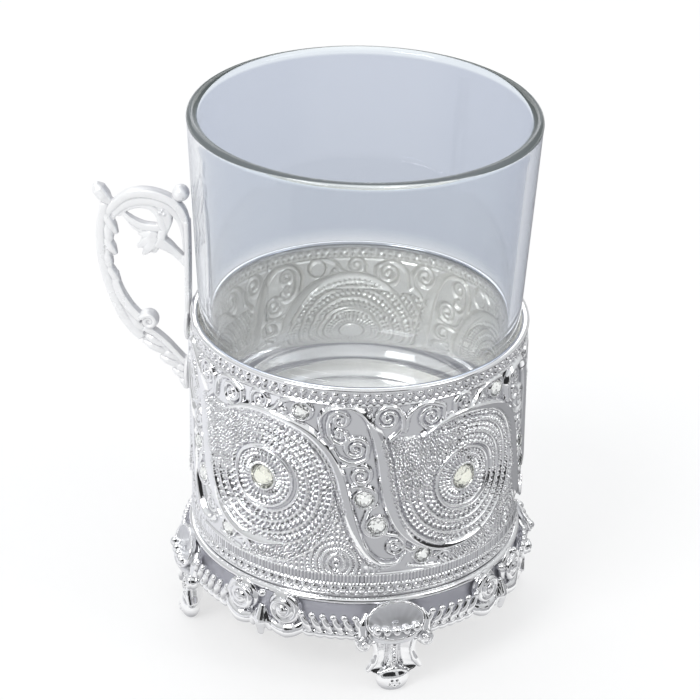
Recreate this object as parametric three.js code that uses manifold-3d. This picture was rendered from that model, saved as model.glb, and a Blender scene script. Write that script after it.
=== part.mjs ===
// A clear drinking glass standing in a footed, embossed metal holder with a scroll handle.
// Millimetres, +Z up. The glass's axis is vertical and the handle points along -X.
import * as THREE from 'three';
import { mergeVertices } from 'three/addons/utils/BufferGeometryUtils.js';
import Module from 'manifold-3d';

const wasm = await Module();
wasm.setup();

// Drinking glass
const GLASS_RIM_RADIUS = 37.5;
const GLASS_HEIGHT = 88.4;
const GLASS_TAPER_DEG = 3.4;
const GLASS_WALL = 2.4;
const GLASS_BASE = 20.0;
const GLASS_FLOOR_FILLET = 5.0;
const GLASS_FOOT_FILLET = 2.2;
const GLASS_PUNT_DEPTH = 0.8;
const GLASS_PUNT_INSET = 6.0;

// Embossed sleeve of sheet metal round the glass
const SLEEVE_HEIGHT = 50.4;
const SLEEVE_SHEET = 0.8;
const GLASS_CLEARANCE = 0.36;
const TOP_ROLL_HEIGHT = 1.2;
const TOP_ROLL_PROUD = 0.8;
const TOP_BORDER_HEIGHT = 2.8;
const BOTTOM_BORDER_HEIGHT = 5.4;
const BORDER_PROUD = 0.5;

// Embossed ornament, one medallion and one S-shaped strip to each repeat
const MEDALLION_COUNT = 5;
const FIRST_MEDALLION_DEG = -115;
const FIELD_PROUD = 0.5;
const FIELD_REACH = 25.0;
const DISC_RING_RADIUS = 7.4;
const DISC_RING_WIDTH = 2.2;
const DISC_RING_PROUD = 0.9;
const ROW_COUNT = 1;
const ROW_PITCH = 5.0;
const ROW_PROUD = 0.15;
const RIB_WIDTH = 3.4;
const RIB_PROUD = 1.1;
const RIB_CREST_ASIDE = 0.5;
const RIB_SHOULDER = -0.3;
const RIB_SHOULDER_PROUD = 0.7;
const SCROLL_WIRE = 1.2;
const SCROLL_PROUD = 0.8;
const SCROLL_EYE = 0.3;
const RELIEF_ROOT = 0.4;
const ROOT_STEP = 0.08;
const FIELD_DENT = 0.4;
const DENT_INNER_RADIUS = 8.8;
const DENT_OUTER_RADIUS = 14.0;
const RIB_DENT = 0.6;

// Clear stones, each let into a shallow seat in the sheet
const CENTRE_STONE_RADIUS = 2.65;
const STRIP_STONE_RADIUS = 1.9;
const SCROLL_STONE_RADIUS = 1.7;
const STONE_CROWN = 1.1;
const STONE_GIRDLE = 0.4;
const STONE_TABLE_SHARE = 0.55;
const STONE_GAP = 0.12;
const SEAT_DEPTH = 0.25;

// Cast base ring under the sleeve
const FOOT_CLEAR_HEIGHT = 12.2;
const SKIRT_HEIGHT = 8.3;
const SKIRT_FLARE = 1.5;
const FASCIA_DEPTH = 0.3;
const ROLL_HEIGHT = 1.7;
const ROLL_PROUD = 1.1;
const COLLAR_HEIGHT = 7.0;
const COLLAR_WALL = 1.5;
const COLLAR_FIT = 0.2;
const REST_GAP = 0.3;
const FLOOR_PLATE = 1.2;
const VOLUTE_RADIUS = 4.1;
const VOLUTE_THICK = 3.0;
const VOLUTE_SPREAD = 10.6;
const VOLUTE_LOBE_RADIUS = 3.3;
const VOLUTE_LOBE_DROP = 4.9;
const DROP_LENGTH = 9.0;
const DROP_RADIUS = 2.1;

// Cast feet
const FOOT_COUNT = 4;
const FIRST_FOOT_DEG = -68;
const SHELL_HALF_WIDTH = 6.5;
const SHELL_HALF_HEIGHT = 4.7;
const SHELL_PROUD = 2.3;
const SHELL_SINK = 2.2;
const FOOT_BALL_RADIUS = 1.8;
const FOOT_BALL_SPACING = 13.7;
const SHAFT_THICK = 3.2;
const SHAFT_NECK_WIDTH = 6.4;
const SHAFT_FLARE_WIDTH = 12.0;
const SHAFT_FLARE_HEIGHT = 5.4;
const LOBE_HALF_WIDTH = 3.7;
const LOBE_HALF_HEIGHT = 3.2;
const LOBE_HALF_DEPTH = 2.0;
const LOBE_CENTRE_HEIGHT = 2.4;
const LOBE_OUT = 0.3;
const SHAFT_PINCH = 0.7;

// Cast scroll handle, lying in the plane of its arm
const HANDLE_DEG = 180;
const HANDLE_REACH = 24.5;
const HANDLE_CORE = 2.6;
const HANDLE_ROUNDING = 1.2;
const HANDLE_EDGE = 0.7;
const HANDLE_BAR = 2.0;
const PAD_HALF_WIDTH = 3.2;
const PAD_HALF_HEIGHT = 4.2;
const PAD_THICK = 1.6;
const LANDING_PROUD = 0.9;
const UPPER_PAD_DROP = 7.0;
const LOWER_PAD_DROP = 18.8;

// Screws that hold the feet and rivets that hold the handle
const SCREW_RADIUS = 1.2;
const SCREW_HOLE_GAP = 0.2;
const FOOT_SCREW_REACH = 1.2;
const FOOT_SCREW_HEAD_RADIUS = 2.2;
const FOOT_SCREW_HEAD = 1.2;
const FOOT_SCREW_SLOT = 0.5;
const RIVET_REACH = 1.3;
const RIVET_HEAD_RADIUS = 2.0;
const RIVET_HEAD = 0.3;
const SEATING_GAP = 0.08;

// Facets
const ROUND = 44;
const SMALL_ROUND = 8;
const VOLUTE_ROUND = 10;
const MEDALLION_ROUND = 18;
const DENT_ROUND = 16;
const RIB_STEPS = 11;
const SCROLL_ROUND = 6;
const BALL_ROUND = 10;
const BALL_RINGS = 6;

// Heights up the axis
const skirtTop = FOOT_CLEAR_HEIGHT + SKIRT_HEIGHT;
const rollTop = skirtTop + ROLL_HEIGHT;
const sleeveBottom = rollTop + REST_GAP;
const sleeveTop = sleeveBottom + SLEEVE_HEIGHT;
const collarTop = rollTop + COLLAR_HEIGHT;
const plateBottom = collarTop + REST_GAP;
const plateTop = plateBottom + FLOOR_PLATE;
const glassBottom = plateTop + REST_GAP;
const glassTop = glassBottom + GLASS_HEIGHT;
const glassFloor = glassBottom + GLASS_BASE;

// Radii from the glass outwards
const taper = Math.tan(THREE.MathUtils.degToRad(GLASS_TAPER_DEG));
const glassRadius = (z) => GLASS_RIM_RADIUS - (glassTop - z) * taper;
const sleeveInner = glassRadius(sleeveTop) + GLASS_CLEARANCE;
const bandRadius = sleeveInner + SLEEVE_SHEET;
const collarOuter = sleeveInner - COLLAR_FIT;
const collarInner = collarOuter - COLLAR_WALL;

// The ornament's field and its repeat, measured on the unrolled band
const fieldBottom = sleeveBottom + BOTTOM_BORDER_HEIGHT;
const fieldTop = sleeveTop - TOP_ROLL_HEIGHT - TOP_BORDER_HEIGHT;
const fieldHeight = fieldTop - fieldBottom;
const fieldMiddle = (fieldTop + fieldBottom) / 2;
const repeatLength = (2 * Math.PI * bandRadius) / MEDALLION_COUNT;
const padInner = bandRadius + LANDING_PROUD + REST_GAP;
const cutClear = 2 * RIB_PROUD;

const silver = new THREE.MeshStandardMaterial({ color: 0xd6d8dc, roughness: 0.16, metalness: 1.0 });
const castSilver = new THREE.MeshStandardMaterial({ color: 0xe2e4e7, roughness: 0.22, metalness: 1.0 });
const steel = new THREE.MeshStandardMaterial({ color: 0xb4b8bd, roughness: 0.35, metalness: 1.0 });
const clearGlass = new THREE.MeshStandardMaterial({
  color: 0xdfe8ee, roughness: 0.04, metalness: 0.0, transparent: true, opacity: 0.35,
});
const clearStone = new THREE.MeshStandardMaterial({
  color: 0xe8ead2, roughness: 0.05, metalness: 0.0, transparent: true, opacity: 0.7,
});

// Shared shape helpers

// A closed mesh on shared points, with its faces pointing out.
function closed(geometry) {
  geometry.deleteAttribute('normal');
  geometry.deleteAttribute('uv');
  const merged = mergeVertices(geometry, 1e-4);
  const place = merged.attributes.position;
  const index = Array.from(merged.index.array);
  const kept = [];
  let volume = 0;
  for (let i = 0; i < index.length; i += 3) {
    const [a, b, c] = index.slice(i, i + 3);
    if (a === b || b === c || c === a) continue;
    kept.push(a, b, c);
    const [p, q, r] = [a, b, c].map((v) => new THREE.Vector3().fromBufferAttribute(place, v));
    volume += p.dot(q.cross(r));
  }
  if (volume < 0) kept.reverse();
  merged.setIndex(kept);
  return merged;
}

function solid(geometry) {
  const mesh = closed(geometry);
  return new wasm.Manifold(new wasm.Mesh({
    numProp: 3,
    vertProperties: new Float32Array(mesh.attributes.position.array),
    triVerts: new Uint32Array(mesh.index.array),
  }));
}

function geometryOf(manifold) {
  const mesh = manifold.getMesh();
  const geometry = new THREE.BufferGeometry();
  geometry.setAttribute('position', new THREE.BufferAttribute(mesh.vertProperties, 3));
  geometry.setIndex(new THREE.BufferAttribute(mesh.triVerts, 1));
  geometry.computeVertexNormals();
  return geometry;
}

// A body turned about the vertical axis from a list of [radius, height] points.
function revolve(profile, segments = ROUND) {
  const points = profile.map(([r, z]) => new THREE.Vector2(r, z));
  const onAxis = profile[0][0] === 0;
  if (!onAxis) points.push(points[0].clone());
  return new THREE.LatheGeometry(points, segments).rotateX(Math.PI / 2);
}

function moveEachPoint(geometry, move) {
  const place = geometry.attributes.position;
  const point = new THREE.Vector3();
  for (let i = 0; i < place.count; i += 1) {
    point.fromBufferAttribute(place, i);
    move(point);
    place.setXYZ(i, point.x, point.y, point.z);
  }
  return geometry;
}

// Rolls a flat ornament (x along the band, y up, z out of the surface) round the axis.
function wrapOnBand(geometry, degrees, height) {
  return moveEachPoint(geometry, (point) => {
    const angle = THREE.MathUtils.degToRad(degrees) + point.x / bandRadius;
    const radius = bandRadius + point.z;
    point.set(radius * Math.cos(angle), radius * Math.sin(angle), height + point.y);
  });
}

// Turns a piece built at the front of +X to its place round the axis.
function turnTo(geometry, degrees) {
  return geometry.rotateZ(THREE.MathUtils.degToRad(degrees));
}

// A rod along +X between two radii.
function radialRod(radius, from, to, height, segments = SMALL_ROUND) {
  const rod = new THREE.CylinderGeometry(radius, radius, to - from, segments);
  return rod.rotateZ(-Math.PI / 2).translate((from + to) / 2, 0, height);
}

function quarterArc(centre, radius, fromDeg, toDeg, steps) {
  return Array.from({ length: steps + 1 }, (_, i) => {
    const angle = THREE.MathUtils.degToRad(fromDeg + ((toDeg - fromDeg) * i) / steps);
    return [centre[0] + radius * Math.cos(angle), centre[1] + radius * Math.sin(angle)];
  });
}

const mug = new THREE.Group();

function addPiece(name, geometry, material) {
  const mesh = new THREE.Mesh(closed(geometry), material);
  mesh.name = name;
  mug.add(mesh);
  return mesh;
}

// Drinking glass: tapered wall with a rounded lip, heavy base and a shallow punt underneath
function glassProfile() {
  const foot = glassRadius(glassBottom);
  const puntRadius = foot - GLASS_PUNT_INSET;
  const innerAt = (z) => glassRadius(z) - GLASS_WALL;
  const lip = [GLASS_RIM_RADIUS - GLASS_WALL / 2, glassTop - GLASS_WALL / 2];
  const fillet = [innerAt(glassFloor) - GLASS_FLOOR_FILLET, glassFloor + GLASS_FLOOR_FILLET];
  const heel = [foot - GLASS_FOOT_FILLET, glassBottom + GLASS_FOOT_FILLET];
  return [
    [0, glassBottom + GLASS_PUNT_DEPTH],
    [puntRadius, glassBottom + GLASS_PUNT_DEPTH],
    [puntRadius + GLASS_PUNT_DEPTH, glassBottom],
    ...quarterArc(heel, GLASS_FOOT_FILLET, -90, 0, 3),
    [glassRadius(sleeveTop), sleeveTop],
    ...quarterArc(lip, GLASS_WALL / 2, 0, 180, 6),
    ...quarterArc(fillet, GLASS_FLOOR_FILLET, 0, -90, 5),
    [0, glassFloor],
  ];
}

// Sleeve: sheet wall with a rolled top edge and raised borders
function sleeveProfile() {
  const border = bandRadius + BORDER_PROUD;
  const rollBase = sleeveTop - TOP_ROLL_HEIGHT;
  const rollOut = bandRadius + TOP_ROLL_PROUD;
  const chamfer = BORDER_PROUD;
  return [
    [sleeveInner, sleeveBottom],
    [bandRadius, sleeveBottom],
    [border, sleeveBottom + chamfer],
    [border, fieldBottom - chamfer],
    [bandRadius, fieldBottom],
    [bandRadius, fieldTop],
    [border, fieldTop + chamfer],
    [border, rollBase - chamfer],
    [bandRadius, rollBase],
    [rollOut, rollBase + TOP_ROLL_HEIGHT / 3],
    [rollOut, sleeveTop - TOP_ROLL_HEIGHT / 3],
    [bandRadius, sleeveTop],
    [sleeveInner, sleeveTop],
  ];
}

// Lines of the ornament, as shares of the repeat and of the field's height, with shares of the rib's width
const LEFT_RIB = [[-0.233, 0.302], [-0.113, 0.366], [-0.007, 0.383], [0.113, 0.366], [0.231, 0.315],
  [0.322, 0.217], [0.375, 0.095], [0.404, -0.027], [0.432, -0.149], [0.47, -0.278], [0.523, -0.383],
  [0.59, -0.437], [0.659, -0.429], [0.698, -0.376]];
const LEFT_RIB_WIDTHS = [0.3, 0.8, 1, 1, 1, 0.9, 0.8, 0.3];
const RIGHT_RIB = [[0.293, 0.315], [0.282, 0.41], [0.319, 0.473], [0.381, 0.495], [0.448, 0.488],
  [0.508, 0.429], [0.552, 0.322], [0.583, 0.183], [0.605, 0.027], [0.634, -0.112], [0.687, -0.234],
  [0.769, -0.322], [0.874, -0.376], [1.002, -0.383], [1.113, -0.356]];
const RIGHT_RIB_WIDTHS = [0.3, 0.35, 0.7, 1, 1, 0.95, 0.75, 0.3];
const RIBS = [[LEFT_RIB, LEFT_RIB_WIDTHS, 1], [RIGHT_RIB, RIGHT_RIB_WIDTHS, -1]];

function onPlan([u, v]) {
  return new THREE.Vector2(u * repeatLength, v * fieldHeight);
}

// Value of a list at a share of its length
function along(list, share) {
  const place = share * (list.length - 1);
  const before = Math.min(Math.floor(place), list.length - 2);
  return THREE.MathUtils.lerp(list[before], list[before + 1], place - before);
}

// Section of a rib, and of its dent in the back of the sheet: share of the half width, and distance out
const RIB_SECTION = [[-1, -RELIEF_ROOT], [-1, 0], [RIB_SHOULDER, RIB_SHOULDER_PROUD],
  [RIB_CREST_ASIDE, RIB_PROUD], [1, 0], [1, -RELIEF_ROOT]];
const DENT_SECTION = [[-1, -SLEEVE_SHEET - RELIEF_ROOT], [RIB_CREST_ASIDE, RIB_DENT - SLEEVE_SHEET],
  [1, -SLEEVE_SHEET - RELIEF_ROOT]];

// A section swept along a rib's line; its crest lies aside, to the left of the line's way for a side of 1
function rib(section, [shares, widths, side]) {
  const curve = new THREE.SplineCurve(shares.map(onPlan));
  const count = section.length;
  const place = [];
  const index = [];
  for (let i = 0; i <= RIB_STEPS; i += 1) {
    const share = i / RIB_STEPS;
    const middle = curve.getPointAt(share);
    const ahead = curve.getTangentAt(share);
    const half = (side * RIB_WIDTH * along(widths, share)) / 2;
    for (const [across, out] of section) {
      place.push(middle.x - ahead.y * across * half, middle.y + ahead.x * across * half, out);
    }
    for (let k = 0; i > 0 && k < count; k += 1) {
      const a = i * count + k;
      const b = i * count + ((k + 1) % count);
      index.push(a - count, b - count, b, a - count, b, a);
    }
  }
  for (let k = 1; k < count - 1; k += 1) {
    const last = RIB_STEPS * count;
    index.push(0, k + 1, k, last, last + k, last + k + 1);
  }
  const strip = new THREE.BufferGeometry();
  strip.setAttribute('position', new THREE.Float32BufferAttribute(place, 3));
  return strip.setIndex(index);
}

// A round ornament on the flat plan, turned from a list of [radius, distance out] points
function flatLathe(profile, segments) {
  const points = profile.map(([r, out]) => new THREE.Vector2(r, out));
  return new THREE.LatheGeometry(points, segments).rotateX(Math.PI / 2);
}

// Rows of grains round a medallion's middle, as ring ridges on a raised field that the ribs bound.
// Its back is stepped so that it keeps its rings and bends with the band.
function medallionField() {
  const back = [0, 1, 2, 3, 4].map((step) => [
    (FIELD_REACH * step) / 4, -RELIEF_ROOT + (step % 2) * ROOT_STEP,
  ]);
  const ringIn = DISC_RING_RADIUS - DISC_RING_WIDTH / 2;
  const face = [[0, FIELD_PROUD], [ringIn, FIELD_PROUD], [DISC_RING_RADIUS, DISC_RING_PROUD]];
  for (let row = 0; row <= ROW_COUNT; row += 1) {
    const valley = DISC_RING_RADIUS + DISC_RING_WIDTH / 2 + row * ROW_PITCH;
    face.push([valley, FIELD_PROUD - ROW_PROUD]);
    if (row < ROW_COUNT) face.push([valley + ROW_PITCH / 2, FIELD_PROUD + ROW_PROUD]);
  }
  const rowsEnd = face[face.length - 1][0];
  face.push([(rowsEnd + FIELD_REACH) / 2, FIELD_PROUD], [FIELD_REACH, FIELD_PROUD]);
  const rows = flatLathe([...back, ...face.reverse()], MEDALLION_ROUND);
  const before = RIGHT_RIB.slice(6, -1).reverse().map(([u, v]) => [u - 1, v]);
  const below = [[0.6, -0.485], [-0.16, -0.485], [-0.07, -0.44], [0.02, -0.4]];
  const corners = [...LEFT_RIB.slice(0, -2), ...below, ...before, [-0.31, 0.307]];
  const bound = new THREE.ExtrudeGeometry(new THREE.Shape(corners.map(onPlan)), {
    depth: 2 * cutClear, bevelEnabled: false,
  });
  return geometryOf(solid(rows).intersect(solid(bound.translate(0, 0, -cutClear))));
}

// Ring-shaped dent of a medallion in the back of the sheet, round the disc that carries the stone
function medallionDent() {
  const low = -SLEEVE_SHEET - RELIEF_ROOT;
  const floor = FIELD_DENT - SLEEVE_SHEET;
  const [inner, outer] = [DENT_INNER_RADIUS, DENT_OUTER_RADIUS];
  return flatLathe([[inner, low], [outer, low], [outer, floor], [inner, floor], [inner, low]], DENT_ROUND);
}

// Wire scrolls, as dished buttons with a raised rim: place as shares, and radius
const SCROLLS = [[-0.401, 0.42, 3.0], [-0.193, 0.412, 3.1], [0.377, 0.417, 2.2], [0.452, 0.254, 2.8],
  [0.479, 0.098, 2.5], [0.65, -0.329, 2.3]];

function scroll(radius, u, v) {
  const dish = flatLathe([
    [0, -RELIEF_ROOT], [radius, -RELIEF_ROOT], [radius - SCROLL_WIRE / 2, SCROLL_PROUD], [0, SCROLL_EYE],
  ], SCROLL_ROUND);
  return dish.translate(u * repeatLength, v * fieldHeight, 0);
}

// Stones of one repeat: name, radius, and place as shares of the repeat and of the field's height
const STONES = [
  ['medallion_stone', CENTRE_STONE_RADIUS, 0, 0],
  ['strip_stone_upper', STRIP_STONE_RADIUS, 0.503, -0.044],
  ['strip_stone_lower', STRIP_STONE_RADIUS, 0.568, -0.202],
  ['scroll_stone_top', SCROLL_STONE_RADIUS, 0.195, 0.438],
  ['scroll_stone_bottom', SCROLL_STONE_RADIUS, -0.21, -0.404],
];

function flatDisc(radius, from, to, sides = SMALL_ROUND) {
  const disc = new THREE.CylinderGeometry(radius, radius, to - from, sides);
  return disc.rotateX(Math.PI / 2).translate(0, 0, (from + to) / 2);
}

function stone(radius) {
  const back = STONE_GAP - SEAT_DEPTH;
  const girdle = back + STONE_GIRDLE;
  const table = girdle + STONE_CROWN;
  return flatLathe([
    [0, back], [radius, back], [radius, girdle], [radius * STONE_TABLE_SHARE, table], [0, table],
  ], SMALL_ROUND);
}

// Oval pad on the unrolled band, for the handle's two ends and their landings
function ovalPad(halfWidth, halfHeight, from, to) {
  const outline = new THREE.Shape();
  outline.absellipse(0, 0, halfWidth, halfHeight, 0, 2 * Math.PI);
  const pad = new THREE.ExtrudeGeometry(outline, { depth: to - from, bevelEnabled: false, curveSegments: 8 });
  return pad.translate(0, 0, from);
}

const padHeights = [sleeveTop - UPPER_PAD_DROP, sleeveTop - LOWER_PAD_DROP];

function rivetHole(height) {
  const to = padInner + RIVET_REACH + SCREW_HOLE_GAP;
  return turnTo(radialRod(SCREW_RADIUS + SCREW_HOLE_GAP, collarInner, to, height), HANDLE_DEG);
}

function sleeve() {
  let body = solid(revolve(sleeveProfile()));
  const cuts = [];
  for (let i = 0; i < MEDALLION_COUNT; i += 1) {
    const degrees = FIRST_MEDALLION_DEG + (i * 360) / MEDALLION_COUNT;
    const raised = [medallionField(), ...RIBS.map((line) => rib(RIB_SECTION, line))];
    const dents = [medallionDent(), ...RIBS.map((line) => rib(DENT_SECTION, line))];
    for (const dent of dents) cuts.push(solid(wrapOnBand(dent, degrees, fieldMiddle)));
    for (const [u, v, radius] of SCROLLS) raised.push(scroll(radius, u, v));
    for (const [name, radius, u, v] of STONES) {
      const seat = flatDisc(radius + STONE_GAP, -SEAT_DEPTH, cutClear);
      const gem = stone(radius);
      for (const shape of [seat, gem]) shape.translate(u * repeatLength, v * fieldHeight, 0);
      raised.push(scroll(radius + SCROLL_WIRE, u, v));
      cuts.push(solid(wrapOnBand(seat, degrees, fieldMiddle)));
      addPiece(`${name}_${i + 1}`, wrapOnBand(gem, degrees, fieldMiddle), clearStone);
    }
    for (const shape of raised) body = body.add(solid(wrapOnBand(shape, degrees, fieldMiddle)));
  }
  for (const height of padHeights) {
    const landing = ovalPad(PAD_HALF_WIDTH, PAD_HALF_HEIGHT, -RELIEF_ROOT, LANDING_PROUD);
    const clear = ovalPad(PAD_HALF_WIDTH + REST_GAP, PAD_HALF_HEIGHT + REST_GAP, LANDING_PROUD, cutClear);
    body = body.add(solid(wrapOnBand(landing, HANDLE_DEG, height)));
    cuts.push(solid(wrapOnBand(clear, HANDLE_DEG, height)), solid(rivetHole(height)));
  }
  for (const cut of cuts) body = body.subtract(cut);
  return geometryOf(body);
}

// Outer face of the base ring, from the skirt's lower edge up: flared skirt, hollow fascia and roll
function ringFace(gap) {
  const face = bandRadius + gap;
  const rollMiddle = rollTop - ROLL_HEIGHT / 2;
  const roll = quarterArc([0, 0], 1, -90, 90, 4);
  return [
    [face + SKIRT_FLARE, FOOT_CLEAR_HEIGHT - gap],
    [face + SKIRT_FLARE, FOOT_CLEAR_HEIGHT + SKIRT_HEIGHT / 4],
    [face, skirtTop - SKIRT_HEIGHT / 2],
    [face - FASCIA_DEPTH, skirtTop - SKIRT_HEIGHT / 4],
    ...roll.map(([out, up]) => [face + out * ROLL_PROUD, rollMiddle + (up * ROLL_HEIGHT) / 2]),
  ];
}

// Base ring: that face, with a collar standing up inside the sleeve
function ringProfile() {
  return [
    [collarInner, FOOT_CLEAR_HEIGHT + COLLAR_WALL],
    [collarOuter, FOOT_CLEAR_HEIGHT],
    ...ringFace(0),
    [collarOuter, rollTop],
    [collarOuter, collarTop],
    [collarInner, collarTop],
  ];
}

const footScrewHeight = skirtTop - SKIRT_HEIGHT / 2;

function footScrewHole() {
  const to = bandRadius + SKIRT_FLARE + FOOT_SCREW_REACH + SCREW_HOLE_GAP;
  return radialRod(SCREW_RADIUS + SCREW_HOLE_GAP, collarInner - COLLAR_WALL, to, footScrewHeight);
}

// A pair of scroll volutes with a leaf drop between them, midway between two feet
function skirtOrnament() {
  const face = bandRadius + SKIRT_FLARE;
  const eye = rollTop - VOLUTE_RADIUS;
  const shapes = [];
  for (const side of [-1, 1]) {
    const turn = (side * VOLUTE_SPREAD) / 2 / face;
    const back = face - VOLUTE_THICK / 2;
    const volute = radialRod(VOLUTE_RADIUS, back, face + VOLUTE_THICK / 2, eye, VOLUTE_ROUND);
    const lobeHeight = eye - VOLUTE_LOBE_DROP;
    const lobe = radialRod(VOLUTE_LOBE_RADIUS, back, face + VOLUTE_THICK / 3, lobeHeight, VOLUTE_ROUND);
    shapes.push(volute.rotateZ(turn), lobe.rotateZ(turn));
  }
  const drop = new THREE.ConeGeometry(DROP_RADIUS, DROP_LENGTH, SMALL_ROUND);
  drop.rotateX(-Math.PI / 2).translate(face, 0, eye - DROP_LENGTH / 2);
  shapes.push(drop);
  return shapes;
}

function footDegrees(i) {
  return FIRST_FOOT_DEG + (i * 360) / FOOT_COUNT;
}

function baseRing() {
  let body = solid(revolve(ringProfile()));
  for (let i = 0; i < FOOT_COUNT; i += 1) {
    const between = footDegrees(i) + 180 / FOOT_COUNT;
    for (const shape of skirtOrnament()) body = body.add(solid(turnTo(shape, between)));
    body = body.subtract(solid(turnTo(footScrewHole(), footDegrees(i))));
  }
  return geometryOf(body);
}

function floorPlate() {
  return revolve([[0, plateBottom], [collarOuter, plateBottom], [collarOuter, plateTop], [0, plateTop]]);
}

// Foot: shell over the skirt, a ball each side, a flared shaft and a rounded toe with a flat sole
function ball(halfDepth, halfWidth, halfHeight) {
  return new THREE.SphereGeometry(1, BALL_ROUND, BALL_RINGS).scale(halfDepth, halfWidth, halfHeight);
}

function shaftOutline(shoulder, ballHeight) {
  const neck = SHAFT_NECK_WIDTH / 2;
  const flare = SHAFT_FLARE_WIDTH / 2;
  const arm = FOOT_BALL_SPACING / 2;
  const outline = new THREE.Shape();
  outline.moveTo(-arm, shoulder);
  outline.lineTo(-arm, ballHeight);
  outline.lineTo(-neck, ballHeight);
  outline.quadraticCurveTo(-neck, SHAFT_FLARE_HEIGHT, -flare, SHAFT_FLARE_HEIGHT);
  outline.lineTo(-LOBE_HALF_WIDTH / 2, LOBE_CENTRE_HEIGHT);
  outline.lineTo(LOBE_HALF_WIDTH / 2, LOBE_CENTRE_HEIGHT);
  outline.lineTo(flare, SHAFT_FLARE_HEIGHT);
  outline.quadraticCurveTo(neck, SHAFT_FLARE_HEIGHT, neck, ballHeight);
  outline.lineTo(arm, ballHeight);
  outline.lineTo(arm, shoulder);
  outline.closePath();
  return outline;
}

function foot() {
  const face = bandRadius + SKIRT_FLARE + LOBE_OUT;
  const shellHeight = rollTop - SHELL_HALF_HEIGHT - ROLL_HEIGHT / 2;
  const ballHeight = shellHeight - SHELL_HALF_HEIGHT + FOOT_BALL_RADIUS / 2;
  const shoulder = ballHeight + FOOT_BALL_RADIUS;
  const shell = ball(SHELL_PROUD + SHELL_SINK, SHELL_HALF_WIDTH, SHELL_HALF_HEIGHT);
  shell.translate(face - LOBE_OUT - SHELL_SINK, 0, shellHeight);
  const toe = ball(LOBE_HALF_DEPTH, LOBE_HALF_WIDTH, LOBE_HALF_HEIGHT).translate(face, 0, LOBE_CENTRE_HEIGHT);
  const shaft = new THREE.ExtrudeGeometry(shaftOutline(shoulder, ballHeight), {
    depth: SHAFT_THICK, bevelEnabled: false, curveSegments: 4,
  });
  moveEachPoint(shaft, (point) => {
    const { x, y, z } = point;
    const down = THREE.MathUtils.clamp((ballHeight - y) / (ballHeight - SHAFT_FLARE_HEIGHT), 0, 1);
    point.set(face - SHAFT_THICK / 2 - SHAFT_PINCH * down + z, x, y);
  });
  let body = solid(shell).add(solid(toe)).add(solid(shaft));
  for (const side of [-1, 1]) {
    const knob = ball(FOOT_BALL_RADIUS, FOOT_BALL_RADIUS, FOOT_BALL_RADIUS);
    body = body.add(solid(knob.translate(face, (side * FOOT_BALL_SPACING) / 2, ballHeight)));
  }
  const ground = new THREE.BoxGeometry(face, face, LOBE_HALF_HEIGHT);
  ground.translate(face, 0, -LOBE_HALF_HEIGHT / 2);
  const ring = [[0, FOOT_CLEAR_HEIGHT - REST_GAP], ...ringFace(REST_GAP), [0, rollTop]];
  return body.subtract(solid(ground)).subtract(solid(revolve(ring))).subtract(solid(footScrewHole()));
}

// A screw or rivet along +X, its head bearing on the inside of a round wall
function fastener(wallRadius, headRadius, headThick, tip, height) {
  const flat = wallRadius * Math.cos(Math.PI / ROUND);
  const bearing = Math.sqrt(flat * flat - headRadius * headRadius) - SEATING_GAP;
  const length = tip - bearing;
  const profile = [[0, -headThick], [headRadius, -headThick], [headRadius, 0], [SCREW_RADIUS, 0],
    [SCREW_RADIUS, length], [0, length]];
  return revolve(profile, SMALL_ROUND).rotateY(Math.PI / 2).translate(bearing, 0, height);
}

function footScrew() {
  const tip = bandRadius + SKIRT_FLARE + FOOT_SCREW_REACH;
  const screw = fastener(collarInner, FOOT_SCREW_HEAD_RADIUS, FOOT_SCREW_HEAD, tip, footScrewHeight);
  const headFace = new THREE.Box3().setFromBufferAttribute(screw.attributes.position).min.x;
  const slotLength = 3 * FOOT_SCREW_HEAD_RADIUS;
  const slot = new THREE.BoxGeometry(FOOT_SCREW_HEAD, FOOT_SCREW_SLOT, slotLength);
  slot.translate(headFace, 0, footScrewHeight);
  return geometryOf(solid(screw).subtract(solid(slot)));
}

// Handle: pierced scroll casting, drawn in handle units out from the band and up from the sleeve's top.
// Its knob, given by place and radius, is what reaches furthest out.
const KNOB = { out: 22.0, up: 23.1, radius: 2.5 };
const handleUnit = HANDLE_REACH / (KNOB.out + KNOB.radius);

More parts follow.
